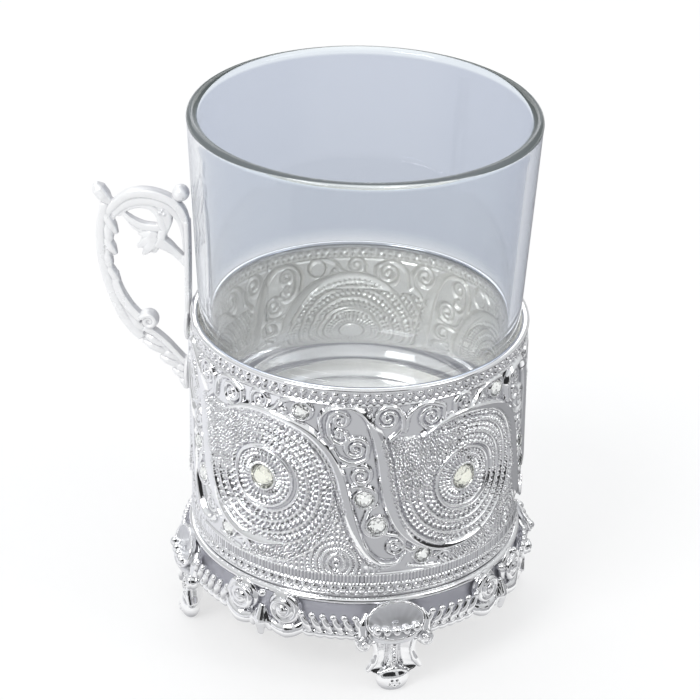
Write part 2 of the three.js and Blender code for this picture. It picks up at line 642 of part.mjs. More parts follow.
function handleOutline() {
  const wall = (padInner - bandRadius) / handleUnit;
  const barEnd = (-UPPER_PAD_DROP - PAD_HALF_HEIGHT / 2) / handleUnit;
  const outline = new THREE.Shape();
  const through = (...points) => outline.splineThru(points.map(([out, up]) => new THREE.Vector2(out, up)));
  const arc = (out, up, radius, fromDeg, toDeg) => outline.absarc(
    out, up, radius, THREE.MathUtils.degToRad(fromDeg), THREE.MathUtils.degToRad(toDeg), true,
  );
  // Bar beside the glass, ball at its top, arched crest and the knob at the crest's outer end
  outline.moveTo(wall, barEnd);
  outline.lineTo(wall, 19.0);
  arc(4.3, 23.8, 2.3, 200, 20);
  through([9.6, 26.0], [12.3, 26.3], [15.6, 25.4], [18.4, 23.7]);
  arc(KNOB.out, KNOB.up, KNOB.radius, 150, -80);
  // Outer edge of the stem, down to the lower end on the band
  through([23.4, 16.6], [22.6, 7.4], [21.4, 1.1], [18.8, -4.9], [13.3, -10.9], [5.9, -19.5], [wall, -24.2]);
  outline.lineTo(wall, -17.3);
  through([5.5, -13.4], [8.4, -10.4]);
  // Scroll eye and the leafy inner edge of the stem
  arc(11.5, -7.1, 2.4, 215, 30);
  through([14.6, -4.4], [17.7, 0.9], [19.4, 4.4], [18.2, 7.5], [19.8, 10.2], [18.2, 13.6], [16.6, 18.6]);
  // Leaf and bud under the crest, back to the bar
  through([13.7, 14.8], [13.7, 11.9], [13.3, 8.8], [11.5, 8.2], [8.6, 10.1], [6.1, 8.7], [3.2, 5.8]);
  outline.lineTo(wall + HANDLE_BAR / handleUnit, barEnd);
  outline.closePath();
  return outline;
}

// The two piercings: an oval eye under the crest and a longer opening beside the bar
function handlePiercings() {
  const eye = new THREE.Shape();
  eye.absellipse(12.5, 18.6, 2.6, 1.6, 0, 2 * Math.PI, false, -0.3);
  const gap = new THREE.Shape();
  gap.absellipse(5.3, 14.4, 1.8, 4.4, 0, 2 * Math.PI, false, -0.12);
  return [eye, gap];
}

// Stands a drawing in handle units on the band's face, midway through the handle's thickness.
function standAtHandle(drawing, depth) {
  drawing.scale(handleUnit, handleUnit, 1).translate(0, 0, -depth / 2);
  drawing.rotateX(Math.PI / 2).translate(bandRadius, 0, sleeveTop);
  return solid(turnTo(drawing, HANDLE_DEG));
}

function handle() {
  const edge = HANDLE_EDGE / handleUnit;
  const scroll = new THREE.ExtrudeGeometry(handleOutline(), {
    depth: HANDLE_CORE, curveSegments: 3, bevelEnabled: true, bevelSegments: 1,
    bevelThickness: HANDLE_ROUNDING, bevelSize: edge, bevelOffset: -edge,
  });
  let body = standAtHandle(scroll, HANDLE_CORE);
  const through = 2 * (HANDLE_CORE + HANDLE_ROUNDING);
  for (const piercing of handlePiercings()) {
    const cut = new THREE.ExtrudeGeometry(piercing, {
      depth: through, bevelEnabled: false, curveSegments: 6,
    });
    body = body.subtract(standAtHandle(cut, through));
  }
  const from = padInner - bandRadius;
  for (const height of padHeights) {
    const pad = ovalPad(PAD_HALF_WIDTH, PAD_HALF_HEIGHT, from, from + PAD_THICK);
    body = body.add(solid(wrapOnBand(pad, HANDLE_DEG, height))).subtract(solid(rivetHole(height)));
  }
  return geometryOf(body);
}

addPiece('glass_tumbler', revolve(glassProfile()), clearGlass);
addPiece('sleeve', sleeve(), silver);
addPiece('base_ring', baseRing(), castSilver);
addPiece('floor_plate', floorPlate(), silver);
for (let i = 0; i < FOOT_COUNT; i += 1) {
  addPiece(`foot_${i + 1}`, turnTo(geometryOf(foot()), footDegrees(i)), castSilver);
  addPiece(`foot_screw_${i + 1}`, turnTo(footScrew(), footDegrees(i)), steel);
}
addPiece('handle', handle(), castSilver);
['upper', 'lower'].forEach((place, i) => {
  const rivet = fastener(sleeveInner, RIVET_HEAD_RADIUS, RIVET_HEAD, padInner + RIVET_REACH, padHeights[i]);
  addPiece(`handle_rivet_${place}`, turnTo(rivet, HANDLE_DEG), steel);
});

// The origin is under the middle of the whole object, on the surface that it stands on.
const box = new THREE.Box3().setFromObject(mug);
const middle = box.getCenter(new THREE.Vector3());
mug.position.set(-middle.x, -middle.y, -box.min.z);

export default mug;
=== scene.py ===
# %% [markdown]
# # A drinking glass in a footed silver holder
#
# A clear glass stands loose in a holder of stamped and cast metal with a silver plate on it.
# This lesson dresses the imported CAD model: the frame gives every size and place, and each
# cell replaces a plain solid by the shape and the finish of the real piece.

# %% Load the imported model
import math

import bpy
import numpy as np
from mathutils import Matrix, Vector


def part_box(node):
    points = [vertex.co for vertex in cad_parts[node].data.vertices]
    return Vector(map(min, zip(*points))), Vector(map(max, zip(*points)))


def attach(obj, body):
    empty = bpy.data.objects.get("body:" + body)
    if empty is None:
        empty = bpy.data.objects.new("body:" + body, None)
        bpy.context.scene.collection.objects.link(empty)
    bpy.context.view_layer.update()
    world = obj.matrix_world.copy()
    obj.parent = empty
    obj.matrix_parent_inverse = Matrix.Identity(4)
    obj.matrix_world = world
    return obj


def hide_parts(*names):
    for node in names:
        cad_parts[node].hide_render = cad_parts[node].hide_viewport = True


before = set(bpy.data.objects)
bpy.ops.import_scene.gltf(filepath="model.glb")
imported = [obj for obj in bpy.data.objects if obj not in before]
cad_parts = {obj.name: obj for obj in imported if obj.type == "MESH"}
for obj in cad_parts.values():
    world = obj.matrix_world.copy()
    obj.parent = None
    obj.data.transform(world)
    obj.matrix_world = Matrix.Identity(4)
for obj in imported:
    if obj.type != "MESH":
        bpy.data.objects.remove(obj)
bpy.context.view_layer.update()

print("CAD nodes:", len(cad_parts))

# %% [markdown]
# Everything on this object stands round one upright axis, the middle of the glass. Shapes are
# drawn in millimetres from that axis and from the table, and one function brings them into
# the frame. The radii come from the CAD boxes, so a new pack moves the looks along with it.

# %% Measures from the frame
MM = 0.001
PLATE_FIT = 0.2
SHEET = 0.8

glass_low, glass_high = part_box("glass_tumbler")
sleeve_low, sleeve_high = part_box("sleeve")
plate_low, plate_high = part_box("floor_plate")
_, ring_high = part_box("base_ring")

AXIS = Vector(((glass_low.x + glass_high.x) / 2, (glass_low.y + glass_high.y) / 2, 0))
RIM_RADIUS = (glass_high.x - glass_low.x) / 2 / MM
GLASS_BOTTOM = glass_low.z / MM
GLASS_TOP = glass_high.z / MM
SLEEVE_INNER = (plate_high.x - plate_low.x) / 2 / MM + PLATE_FIT
BAND_RADIUS = SLEEVE_INNER + SHEET
SLEEVE_BOTTOM = sleeve_low.z / MM
SLEEVE_TOP = sleeve_high.z / MM
COLLAR_TOP = ring_high.z / MM

print(f"rim {RIM_RADIUS:.1f}, band {BAND_RADIUS:.1f}, sleeve {SLEEVE_BOTTOM:.1f} to {SLEEVE_TOP:.1f} mm")

# %% [markdown]
# A mesh is a list of points and a list of faces. These helpers make the shapes that come back
# again and again: a body turned on a lathe, a round rod along a path, a pebble. Each gives its
# points and faces in millimetres, so shapes can be joined before they become an object.

# %% Shape helpers
ON_AXIS = 0.001
TIP_SHARE = 0.5


def grid_faces(rows, columns, wrap=False):
    """Quads between the points of a grid that is stored row by row."""
    last = columns if wrap else columns - 1
    faces = []
    for row in range(rows - 1):
        for column in range(last):
            a = row * columns + column
            b = row * columns + (column + 1) % columns
            faces.append((a, b, b + columns, a + columns))
    return faces


def level_ring(radius, height, sides):
    """Points on a level circle round the axis."""
    angles = np.linspace(0, 2 * math.pi, sides, endpoint=False)
    return np.column_stack((radius * np.cos(angles), radius * np.sin(angles), np.full(sides, height)))


def lathe(profile, sides):
    """A body turned about the axis; a profile that stays off the axis is closed to a ring."""
    points = np.concatenate([level_ring(r, z, sides) for r, z in profile])
    faces = grid_faces(len(profile), sides, wrap=True)
    last = (len(profile) - 1) * sides
    if profile[0][0] > ON_AXIS:
        faces += [(last + i, last + (i + 1) % sides, (i + 1) % sides, i) for i in range(sides)]
    return points, faces


def smooth_path(points, steps=12):
    """A Catmull-Rom curve through the given points."""
    p = np.asarray(points, float)
    p = np.concatenate(([2 * p[0] - p[1]], p, [2 * p[-1] - p[-2]]))
    out = []
    for i in range(1, len(p) - 2):
        for t in np.arange(steps) / steps:
            a, b, c, d = p[i - 1:i + 3]
            out.append(0.5 * (2 * b + (c - a) * t + (2 * a - 5 * b + 4 * c - d) * t**2
                              + (3 * b - a - 3 * c + d) * t**3))
    out.append(p[-2])
    return np.array(out)


def rod(path, widths, flat=1.0, across=(0, 0, 1), sides=10, square=1.0):
    """A rod along a path, with its half width given at some stations.

    It is flattened along the across direction. A square below 1 gives its section flat faces
    with rounded corners.
    """
    path = np.asarray(path, float)
    share = np.linspace(0, 1, len(path))
    half = np.interp(share, np.linspace(0, 1, len(widths)), widths)
    ahead = np.gradient(path, axis=0)
    ahead /= np.linalg.norm(ahead, axis=1)[:, None]
    up = np.tile(np.asarray(across, float), (len(path), 1))
    up -= ahead * np.sum(up * ahead, axis=1)[:, None]
    up /= np.linalg.norm(up, axis=1)[:, None]
    side = np.cross(ahead, up)
    turn = np.linspace(0, 2 * math.pi, sides, endpoint=False)
    wide = np.sign(np.cos(turn)) * np.abs(np.cos(turn)) ** square
    deep = np.sign(np.sin(turn)) * np.abs(np.sin(turn)) ** square
    rings = []
    for i in range(len(path)):
        section = np.outer(wide, side[i]) + flat * np.outer(deep, up[i])
        rings.append(path[i] + half[i] * section)
    tip_start = path[0] - ahead[0] * half[0] * TIP_SHARE
    tip_end = path[-1] + ahead[-1] * half[-1] * TIP_SHARE
    points = np.concatenate((*rings, [tip_start, tip_end]))
    faces = grid_faces(len(path), sides, wrap=True)
    first, last = len(path) * sides, len(path) * sides + 1
    end = (len(path) - 1) * sides
    for i in range(sides):
        j = (i + 1) % sides
        faces.append((first, j, i))
        faces.append((last, end + i, end + j))
    return points, faces


def pebble(centre, halves, sides=20, rings=12):
    """An ellipsoid."""
    lean = np.linspace(-math.pi / 2, math.pi / 2, rings)
    unit = [level_ring(max(math.cos(a), ON_AXIS), math.sin(a), sides) for a in lean]
    points = np.concatenate(unit) * np.asarray(halves) + np.asarray(centre)
    faces = grid_faces(rings, sides, wrap=True)
    faces.append(tuple(reversed(range(sides))))
    faces.append(tuple((rings - 1) * sides + i for i in range(sides)))
    return points, faces


def joined(parts):
    """Several shapes as one list of points and one list of faces."""
    points, faces, start = [], [], 0
    for part_points, part_faces in parts:
        points.append(part_points)
        faces += [tuple(v + start for v in face) for face in part_faces]
        start += len(part_points)
    return np.concatenate(points), faces


def turned(points, degrees):
    """Points turned about the upright axis."""
    c, s = math.cos(math.radians(degrees)), math.sin(math.radians(degrees))
    return np.asarray(points, float) @ np.array([[c, s, 0], [-s, c, 0], [0, 0, 1]])


# %% [markdown]
# A casting has soft inside corners where its leaves and stems run into each other. Modelling
# every fillet by hand takes long. The shortcut is to let the parts overlap, to wrap one skin
# of small voxels round them all, and to smooth that skin a little, as plating does.

# %% Casting helper
def cast(parts, voxel, passes=4):
    """One closed skin round overlapping closed shapes."""
    points, faces = joined(parts)
    mould = bpy.data.meshes.new("mould")
    mould.from_pydata(points.tolist(), [], faces)
    scrap = bpy.data.objects.new("mould", mould)
    bpy.context.scene.collection.objects.link(scrap)
    skin = scrap.modifiers.new("skin", "REMESH")
    skin.mode = "VOXEL"
    skin.voxel_size = voxel
    soft = scrap.modifiers.new("soft", "SMOOTH")
    soft.factor = 0.5
    soft.iterations = passes
    made = scrap.evaluated_get(bpy.context.evaluated_depsgraph_get())
    mesh = made.to_mesh()
    out = np.empty(len(mesh.vertices) * 3)
    mesh.vertices.foreach_get("co", out)
    quads = [tuple(face.vertices) for face in mesh.polygons]
    made.to_mesh_clear()
    bpy.data.objects.remove(scrap)
    bpy.data.meshes.remove(mould)
    return out.reshape(-1, 3), quads


# %% [markdown]
# A piece is a mesh in the frame's own metres. It rides on a body of the imported model, so that it
# moves with it, it hides the CAD nodes that it stands in for, and it wears one finish.

# %% Piece helper
def add_piece(name, shape, material, replaces=(), body="holder", sharp=None):
    """A new object in the frame that rides on a body and wears a material."""
    points, faces = shape
    mesh = bpy.data.meshes.new(name)
    mesh.from_pydata((np.asarray(points) * MM + np.array(AXIS)).tolist(), [], faces)
    mesh.validate()
    mesh.shade_smooth()
    if sharp is not None:
        mesh.set_sharp_from_angle(angle=math.radians(sharp))
    mesh.materials.append(material)
    piece = bpy.data.objects.new(name, mesh)
    bpy.context.scene.collection.objects.link(piece)
    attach(piece, body)
    if replaces:
        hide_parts(*replaces)
    print(f"{name}: {len(mesh.polygons)} faces")
    return piece


# %% [markdown]
# Silver plate is nearly white and mirrors the room. It never is a perfect mirror: fingers
# leave a faint haze on it. Grey is painted on as well: in the hollows it stands partly for
# tarnish and partly for painted shade, and on the undersides and on the sides that are turned to
# the glass it is painted shade. Both effects are used by every metal here, so each is a small
# node group with named sockets.

# %% Shared groups for haze, tarnish and painted shade
def new_group(name, inputs, outputs):
    """An empty shader node group; inputs are (name, kind, default) and outputs are (name, kind)."""
    group = bpy.data.node_groups.new(name, "ShaderNodeTree")
    for label, kind, default in inputs:
        socket = group.interface.new_socket(label, in_out="INPUT", socket_type=kind)
        socket.default_value = default
    for label, kind in outputs:
        group.interface.new_socket(label, in_out="OUTPUT", socket_type=kind)
    enter = group.nodes.new("NodeGroupInput")
    leave = group.nodes.new("NodeGroupOutput")
    return group, enter, leave


def handling_haze():
    """Roughness that wanders over the surface, and a fine height for the bump."""
    group, enter, leave = new_group(
        "handling_haze",
        [
            ("Scale", "NodeSocketFloat", 120.0),
            ("Low", "NodeSocketFloat", 0.08),
            ("High", "NodeSocketFloat", 0.2),
        ],
        [("Roughness", "NodeSocketFloat"), ("Height", "NodeSocketFloat")],
    )
    nodes, links = group.nodes, group.links
    place = nodes.new("ShaderNodeTexCoord")
    cloud = nodes.new("ShaderNodeTexNoise")
    cloud.inputs["Detail"].default_value = 5.0
    cloud.inputs["Roughness"].default_value = 0.6
    spread = nodes.new("ShaderNodeMapRange")
    spread.inputs["From Min"].default_value = 0.35
    spread.inputs["From Max"].default_value = 0.65
    grain = nodes.new("ShaderNodeTexNoise")
    grain.inputs["Scale"].default_value = 2600.0
    grain.inputs["Detail"].default_value = 2.0
    links.new(place.outputs["Object"], cloud.inputs["Vector"])
    links.new(place.outputs["Object"], grain.inputs["Vector"])
    links.new(enter.outputs["Scale"], cloud.inputs["Scale"])
    links.new(cloud.outputs["Fac"], spread.inputs["Value"])
    links.new(enter.outputs["Low"], spread.inputs["To Min"])
    links.new(enter.outputs["High"], spread.inputs["To Max"])
    links.new(spread.outputs["Result"], leave.inputs["Roughness"])
    links.new(grain.outputs["Fac"], leave.inputs["Height"])
    return group


# Faces that look down get painted shade.
UNDERSIDE = (0, 0, -1)
# Faces that look this way, towards the glass, get painted shade.
SHADED_GLASS_SIDE = (0.75, 0.25, 0.62)


def tarnish_and_painted_shade():
    """Bright colour with grey laid on: tarnish and painted shade in the hollows, painted shade
    underneath and on the side towards the glass.
    """
    group, enter, leave = new_group(
        "tarnish_and_painted_shade",
        [
            ("Bright", "NodeSocketColor", (0.9, 0.9, 0.92, 1)),
            ("Tarnish and shade", "NodeSocketColor", (0.4, 0.4, 0.43, 1)),
            ("Depth", "NodeSocketFloat", 0.5),
            ("Underside shade", "NodeSocketFloat", 0.0),
            ("Glass side shade", "NodeSocketFloat", 0.0),
        ],
        [("Color", "NodeSocketColor")],
    )
    nodes, links = group.nodes, group.links
    shape = nodes.new("ShaderNodeNewGeometry")

    def facing(way):
        """How far the surface looks in a direction."""
        look = nodes.new("ShaderNodeVectorMath")
        look.operation = "DOT_PRODUCT"
        look.inputs[1].default_value = Vector(way).normalized()
        links.new(shape.outputs["Normal"], look.inputs[0])
        return look.outputs["Value"]

    def tarnish_and_shade_where(value, start, full, amount):
        """Grey for tarnish and painted shade that grows from the start value to the full value, times the
        amount asked for.
        """
        spread = nodes.new("ShaderNodeMapRange")
        spread.inputs["From Min"].default_value = start
        spread.inputs["From Max"].default_value = full
        share = nodes.new("ShaderNodeMath")
        share.operation = "MULTIPLY"
        links.new(value, spread.inputs["Value"])
        links.new(spread.outputs["Result"], share.inputs[0])
        links.new(enter.outputs[amount], share.inputs[1])
        return share.outputs["Value"]

    # Grey in the hollows is partly tarnish and partly painted shade; underneath and towards the glass it
    # is painted shade only.
    most = tarnish_and_shade_where(shape.outputs["Pointiness"], 0.5, 0.4, "Depth")
    painted_underside = tarnish_and_shade_where(facing(UNDERSIDE), -0.05, 0.6, "Underside shade")
    beside = tarnish_and_shade_where(facing(SHADED_GLASS_SIDE), 0.35, 0.7, "Glass side shade")
    for other in (painted_underside, beside):
        larger = nodes.new("ShaderNodeMath")
        larger.operation = "MAXIMUM"
        links.new(most, larger.inputs[0])
        links.new(other, larger.inputs[1])
        most = larger.outputs["Value"]
    colour = nodes.new("ShaderNodeMix")
    colour.data_type = "RGBA"
    links.new(most, colour.inputs["Factor"])
    links.new(enter.outputs["Bright"], colour.inputs["A"])
    links.new(enter.outputs["Tarnish and shade"], colour.inputs["B"])
    links.new(colour.outputs["Result"], leave.inputs["Color"])
    return group


HAZE = handling_haze()
TARNISH_AND_SHADE_GROUP = tarnish_and_painted_shade()
print("groups:", HAZE.name, TARNISH_AND_SHADE_GROUP.name)

# %% [markdown]
# The stamped sheet, the castings and the steel fasteners are all metals. They differ in colour,
# in how far the polish goes and in how much tarnish and painted shade lie in the hollows, and
# some get painted shade underneath or on the side towards the glass, so one function makes
# them and the calls give those values. The lining, the handle and the fascia mirror less than
# the rest: a metallic share below 1 makes them paler and softer.

# %% Metal materials
GRAIN_HEIGHT = 0.02 * MM


def metal(name, bright, tarnish_shade_colour, depth, low, high, grain, scale=120.0, share=1.0, below=0.0, beside=0.0):
    """A polished metal with haze, with grey for tarnish and painted shade, and a fine grain.

    Depth is the amount of grey in the hollows, partly tarnish and partly painted shade; below and
    beside are the amounts of painted shade underneath and towards the glass. Low and high bound
    the roughness, and share is how metallic the surface is.
    """
    material = bpy.data.materials.new(name)
    material.use_nodes = True
    nodes, links = material.node_tree.nodes, material.node_tree.links
    surface = nodes["Principled BSDF"]
    surface.inputs["Metallic"].default_value = share
    haze = nodes.new("ShaderNodeGroup")
    haze.node_tree = HAZE
    haze.inputs["Scale"].default_value = scale
    haze.inputs["Low"].default_value = low
    haze.inputs["High"].default_value = high
    hollows = nodes.new("ShaderNodeGroup")
    hollows.node_tree = TARNISH_AND_SHADE_GROUP
    hollows.inputs["Bright"].default_value = (*bright, 1)
    hollows.inputs["Tarnish and shade"].default_value = (*tarnish_shade_colour, 1)
    hollows.inputs["Depth"].default_value = depth
    hollows.inputs["Underside shade"].default_value = below
    hollows.inputs["Glass side shade"].default_value = beside
    bump = nodes.new("ShaderNodeBump")
    bump.inputs["Strength"].default_value = grain
    bump.inputs["Distance"].default_value = GRAIN_HEIGHT
    links.new(hollows.outputs["Color"], surface.inputs["Base Color"])
    links.new(haze.outputs["Roughness"], surface.inputs["Roughness"])
    links.new(haze.outputs["Height"], bump.inputs["Height"])
    links.new(bump.outputs["Normal"], surface.inputs["Normal"])
    return material


# In each metal the grey in the hollows is partly tarnish and partly painted shade.
STAMPED = metal(
    "stamped_silver", bright=(0.965, 0.967, 0.975), tarnish_shade_colour=(0.3, 0.3, 0.34), depth=0.95,
    low=0.04, high=0.11, grain=0.2,
)
LINING = metal(
    "sleeve_lining", bright=(0.995, 0.985, 0.945), tarnish_shade_colour=(0.46, 0.45, 0.41), depth=0.75,
    low=0.12, high=0.2, grain=0.3, share=0.33,
)
# The casting gets painted shade on its undersides (below).
CASTING = metal(
    "cast_silver", bright=(0.97, 0.972, 0.978), tarnish_shade_colour=(0.24, 0.24, 0.27), depth=0.95,
    low=0.05, high=0.13, grain=0.2, below=0.75,
)
# The handle gets painted shade on its sides towards the glass (beside).
HANDLE_SILVER = metal(
    "handle_silver", bright=(0.99, 0.99, 0.992), tarnish_shade_colour=(0.44, 0.44, 0.47), depth=1.5,
    low=0.26, high=0.36, grain=0.3, share=0.15, beside=0.75,
)
FASCIA = metal(
    "fascia_silver", bright=(0.74, 0.74, 0.8), tarnish_shade_colour=(0.5, 0.5, 0.54), depth=0.5,
    low=0.36, high=0.46, grain=0.3, share=0.5,
)
SATIN = metal(
    "satin_silver", bright=(0.74, 0.745, 0.765), tarnish_shade_colour=(0.42, 0.42, 0.45), depth=0.6,
    low=0.34, high=0.46, grain=0.4,
)
STEEL = metal(
    "fastener_steel", bright=(0.6, 0.61, 0.63), tarnish_shade_colour=(0.3, 0.3, 0.32), depth=0.6,
    low=0.28, high=0.42, grain=0.5, scale=300.0,
)
METALS = (STAMPED, LINING, CASTING, HANDLE_SILVER, FASCIA, SATIN, STEEL)
print("metals:", [material.name for material in METALS])

# %% [markdown]
# Clear glass takes light in, bends it and lets it out again. The shadow of real glass is light,
# so shadow rays pass straight through. The stones are cut glass: those of the medallions have a
# yellow tinge, the smaller ones are nearly white.

# %% Clear materials
SHADOW_TINT = (0.98, 0.985, 0.99)
SMEAR_SCALE = 60.0


def clear(name, tint, ior, haze):
    """Clear glass that lets lamp light through to what stands behind it."""
    material = bpy.data.materials.new(name)
    material.use_nodes = True
    nodes, links = material.node_tree.nodes, material.node_tree.links
    surface = nodes["Principled BSDF"]
    surface.inputs["Base Color"].default_value = (*tint, 1)
    surface.inputs["Transmission Weight"].default_value = 1.0
    surface.inputs["IOR"].default_value = ior
    smears = nodes.new("ShaderNodeGroup")
    smears.node_tree = HAZE
    smears.inputs["Scale"].default_value = SMEAR_SCALE
    smears.inputs["Low"].default_value = 0.0
    smears.inputs["High"].default_value = haze
    through = nodes.new("ShaderNodeBsdfTransparent")
    through.inputs["Color"].default_value = (*SHADOW_TINT, 1)
    path = nodes.new("ShaderNodeLightPath")
    mix = nodes.new("ShaderNodeMixShader")
    links.new(smears.outputs["Roughness"], surface.inputs["Roughness"])
    links.new(path.outputs["Is Shadow Ray"], mix.inputs["Fac"])
    links.new(surface.outputs["BSDF"], mix.inputs[1])
    links.new(through.outputs["BSDF"], mix.inputs[2])
    links.new(mix.outputs["Shader"], nodes["Material Output"].inputs["Surface"])
    return material


CLEAR_TINT = (0.965, 0.97, 0.97)
GLASS = clear("clear_glass", CLEAR_TINT, ior=1.45, haze=0.015)
STONE = clear("tinted_stone", (0.95, 0.955, 0.85), ior=1.6, haze=0.03)
PALE_STONE = clear("pale_stone", (0.93, 0.94, 0.92), ior=1.6, haze=0.03)
print("clear:", GLASS.name, STONE.name, PALE_STONE.name)

# %% [markdown]
# Above the sleeve the bluish room shows through the walls of the tumbler, most of all through
# the far side and a little deeper downwards. In front of the bright sheet the glass is clear. So
# that view of the room is painted on the walls as a tint, which fades along the axes of the frame.
# Light that runs up inside the wall leaves at the lip, and light that falls into the heavy base
# goes round in it. A renderer cuts such long paths off and would draw black lines there, so the
# lip stays nearly clear, and lip and base get a faint light of their own.

# %% Tint, painted room and light of the tumbler
# The far and near colours below are a painted view of the bluish room seen through the glass; the clear
# and lip tints are the glass itself.
FAR_ROOM_PAINT_HIGH = (0.565, 0.605, 0.695)
FAR_ROOM_PAINT_LOW = (0.515, 0.555, 0.635)
NEAR_ROOM_PAINT = (0.93, 0.945, 0.955)
LIP_TINT = (0.97, 0.99, 0.985)
NEAR_LIP_LIGHT = (0.15, 0.17, 0.18)
FAR_LIP_LIGHT = (0.06, 0.075, 0.075)
BASE_LIGHT = (0.036, 0.037, 0.041)
NO_LIGHT = (0, 0, 0)
FAR_FADE = (-26, 4)
SLEEVE_FADE = (SLEEVE_TOP - 3, SLEEVE_TOP + 5)
BASE_FADE = (GLASS_BOTTOM + 18, GLASS_BOTTOM + 26)
LIP_FADE = (GLASS_TOP - 1.7, GLASS_TOP - 0.9)


def ramp(material, axis, low, high):
    """A value from 0 to 1 between two places on an axis of the frame, in millimetres."""
    nodes, links = material.node_tree.nodes, material.node_tree.links
    place = nodes.new("ShaderNodeTexCoord")
    split = nodes.new("ShaderNodeSeparateXYZ")
    share = nodes.new("ShaderNodeMapRange")
    share.interpolation_type = "SMOOTHSTEP"
    share.inputs["From Min"].default_value = low * MM
    share.inputs["From Max"].default_value = high * MM
    links.new(place.outputs["Object"], split.inputs["Vector"])
    links.new(split.outputs[axis], share.inputs["Value"])
    return share.outputs["Result"]


def blend(material, factor, first, last):
    """A colour between two; each is a colour or the result of another blend."""
    nodes, links = material.node_tree.nodes, material.node_tree.links
    mix = nodes.new("ShaderNodeMix")
    mix.data_type = "RGBA"
    for label, colour in (("A", first), ("B", last)):
        if isinstance(colour, tuple):
            mix.inputs[label].default_value = (*colour, 1)
        else:
            links.new(colour, mix.inputs[label])
    links.new(factor, mix.inputs["Factor"])
    return mix.outputs["Result"]


far_half = ramp(GLASS, "Y", *FAR_FADE)
above_sleeve = ramp(GLASS, "Z", *SLEEVE_FADE)
upwards = ramp(GLASS, "Z", SLEEVE_TOP, GLASS_TOP)
above_base = ramp(GLASS, "Z", *BASE_FADE)
in_lip = ramp(GLASS, "Z", *LIP_FADE)

# Painted view of the room above the sleeve, over the clear glass below it.
far_room_paint = blend(GLASS, upwards, FAR_ROOM_PAINT_LOW, FAR_ROOM_PAINT_HIGH)
upper_room_paint = blend(GLASS, far_half, NEAR_ROOM_PAINT, far_room_paint)
wall_tint_and_room_paint = blend(GLASS, above_sleeve, CLEAR_TINT, upper_room_paint)
glass_tint_and_room_paint = blend(GLASS, in_lip, wall_tint_and_room_paint, LIP_TINT)
wall_light = blend(GLASS, above_base, BASE_LIGHT, NO_LIGHT)
lip_light = blend(GLASS, far_half, NEAR_LIP_LIGHT, FAR_LIP_LIGHT)
glass_light = blend(GLASS, in_lip, wall_light, lip_light)

glass_surface = GLASS.node_tree.nodes["Principled BSDF"]
GLASS.node_tree.links.new(glass_tint_and_room_paint, glass_surface.inputs["Base Color"])
GLASS.node_tree.links.new(glass_light, glass_surface.inputs["Emission Color"])
glass_surface.inputs["Emission Strength"].default_value = 1.0
print("nodes in the glass:", len(GLASS.node_tree.nodes))

# %% [markdown]
# The drinking glass is a tapered tumbler with a fire-rounded lip and a heavy base. It is one
# closed profile turned on a lathe: outside wall, lip, inside wall, rounded floor. The walls get
# many rings: on long faces the smoothed normals would bend the light and darken the edges.

# %% Drinking glass
TAPER = math.tan(math.radians(3.4))
GLASS_WALL = 2.4
GLASS_BASE = 20.0
FLOOR_FILLET = 5.0
HEEL_FILLET = 2.2
PUNT_DEPTH = 0.8
PUNT_INSET = 6.0
GLASS_SIDES = 160
WALL_RINGS = 30
WALL_MARGIN = 0.5
PUNT_EDGE = 1.0
PUNT_CURVE = ((0.5, 0.96), (0.8, 0.7), (1.0, 0.2))


def arc(centre, radius, start, end, steps):
    """Points on an arc, with its angles in degrees."""
    angles = np.radians(np.linspace(start, end, steps + 1))
    return [(centre[0] + radius * math.cos(a), centre[1] + radius * math.sin(a)) for a in angles]


def glass_radius(z):
    """Outside radius of the tapered wall at a height."""
    return RIM_RADIUS - (GLASS_TOP - z) * TAPER


def glass_profile():
    """Outline from the punt underneath, up the outside, over the lip and down to the floor."""
    floor = GLASS_BOTTOM + GLASS_BASE
    heel = (glass_radius(GLASS_BOTTOM) - HEEL_FILLET, GLASS_BOTTOM + HEEL_FILLET)
    lip = (RIM_RADIUS - GLASS_WALL / 2, GLASS_TOP - GLASS_WALL / 2)
    fillet = (glass_radius(floor) - GLASS_WALL - FLOOR_FILLET, floor + FLOOR_FILLET)
    punt = glass_radius(GLASS_BOTTOM) - PUNT_INSET
    wall_up = np.linspace(heel[1] + WALL_MARGIN, lip[1] - WALL_MARGIN, WALL_RINGS)
    wall_down = np.linspace(lip[1] - WALL_MARGIN, fillet[1] + WALL_MARGIN, WALL_RINGS)
    return [
        (ON_AXIS, GLASS_BOTTOM + PUNT_DEPTH),
        *[(punt * share, GLASS_BOTTOM + PUNT_DEPTH * rise) for share, rise in PUNT_CURVE],
        (punt + PUNT_EDGE, GLASS_BOTTOM),
        *arc(heel, HEEL_FILLET, -90, 0, 8),
        *[(glass_radius(z), z) for z in wall_up],
        *arc(lip, GLASS_WALL / 2, 0, 180, 14),
        *[(glass_radius(z) - GLASS_WALL, z) for z in wall_down],
        *arc(fillet, FLOOR_FILLET, 0, -90, 12),
        (fillet[0] * 0.6, floor),
        (ON_AXIS, floor),
    ]


tumbler = lathe(glass_profile(), GLASS_SIDES)
add_piece("tumbler", tumbler, GLASS, ["glass_tumbler"], "glass")

# %% [markdown]
# The sleeve is thin sheet, stamped from behind, so the same relief stands out in front and
# sinks in at the back. A relief is a height over a flat plan. The plan here is one repeat of
# the band: u runs along it and v up it, both in millimetres from a medallion's middle.
# The band has as many repeats as it has medallions, and their stones give the places.

# %% Plan of the ornament
REPEATS = 5
REPEAT = 2 * math.pi * BAND_RADIUS / REPEATS
stone_low, stone_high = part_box("medallion_stone_1")
MEDALLION_HEIGHT = (stone_low.z + stone_high.z) / 2 / MM


def node_place(node):
    """Angle in degrees and height of the middle of a CAD node."""
    low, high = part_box(node)
    middle = (low + high) / 2 - AXIS
    return math.degrees(math.atan2(middle.y, middle.x)), middle.z / MM


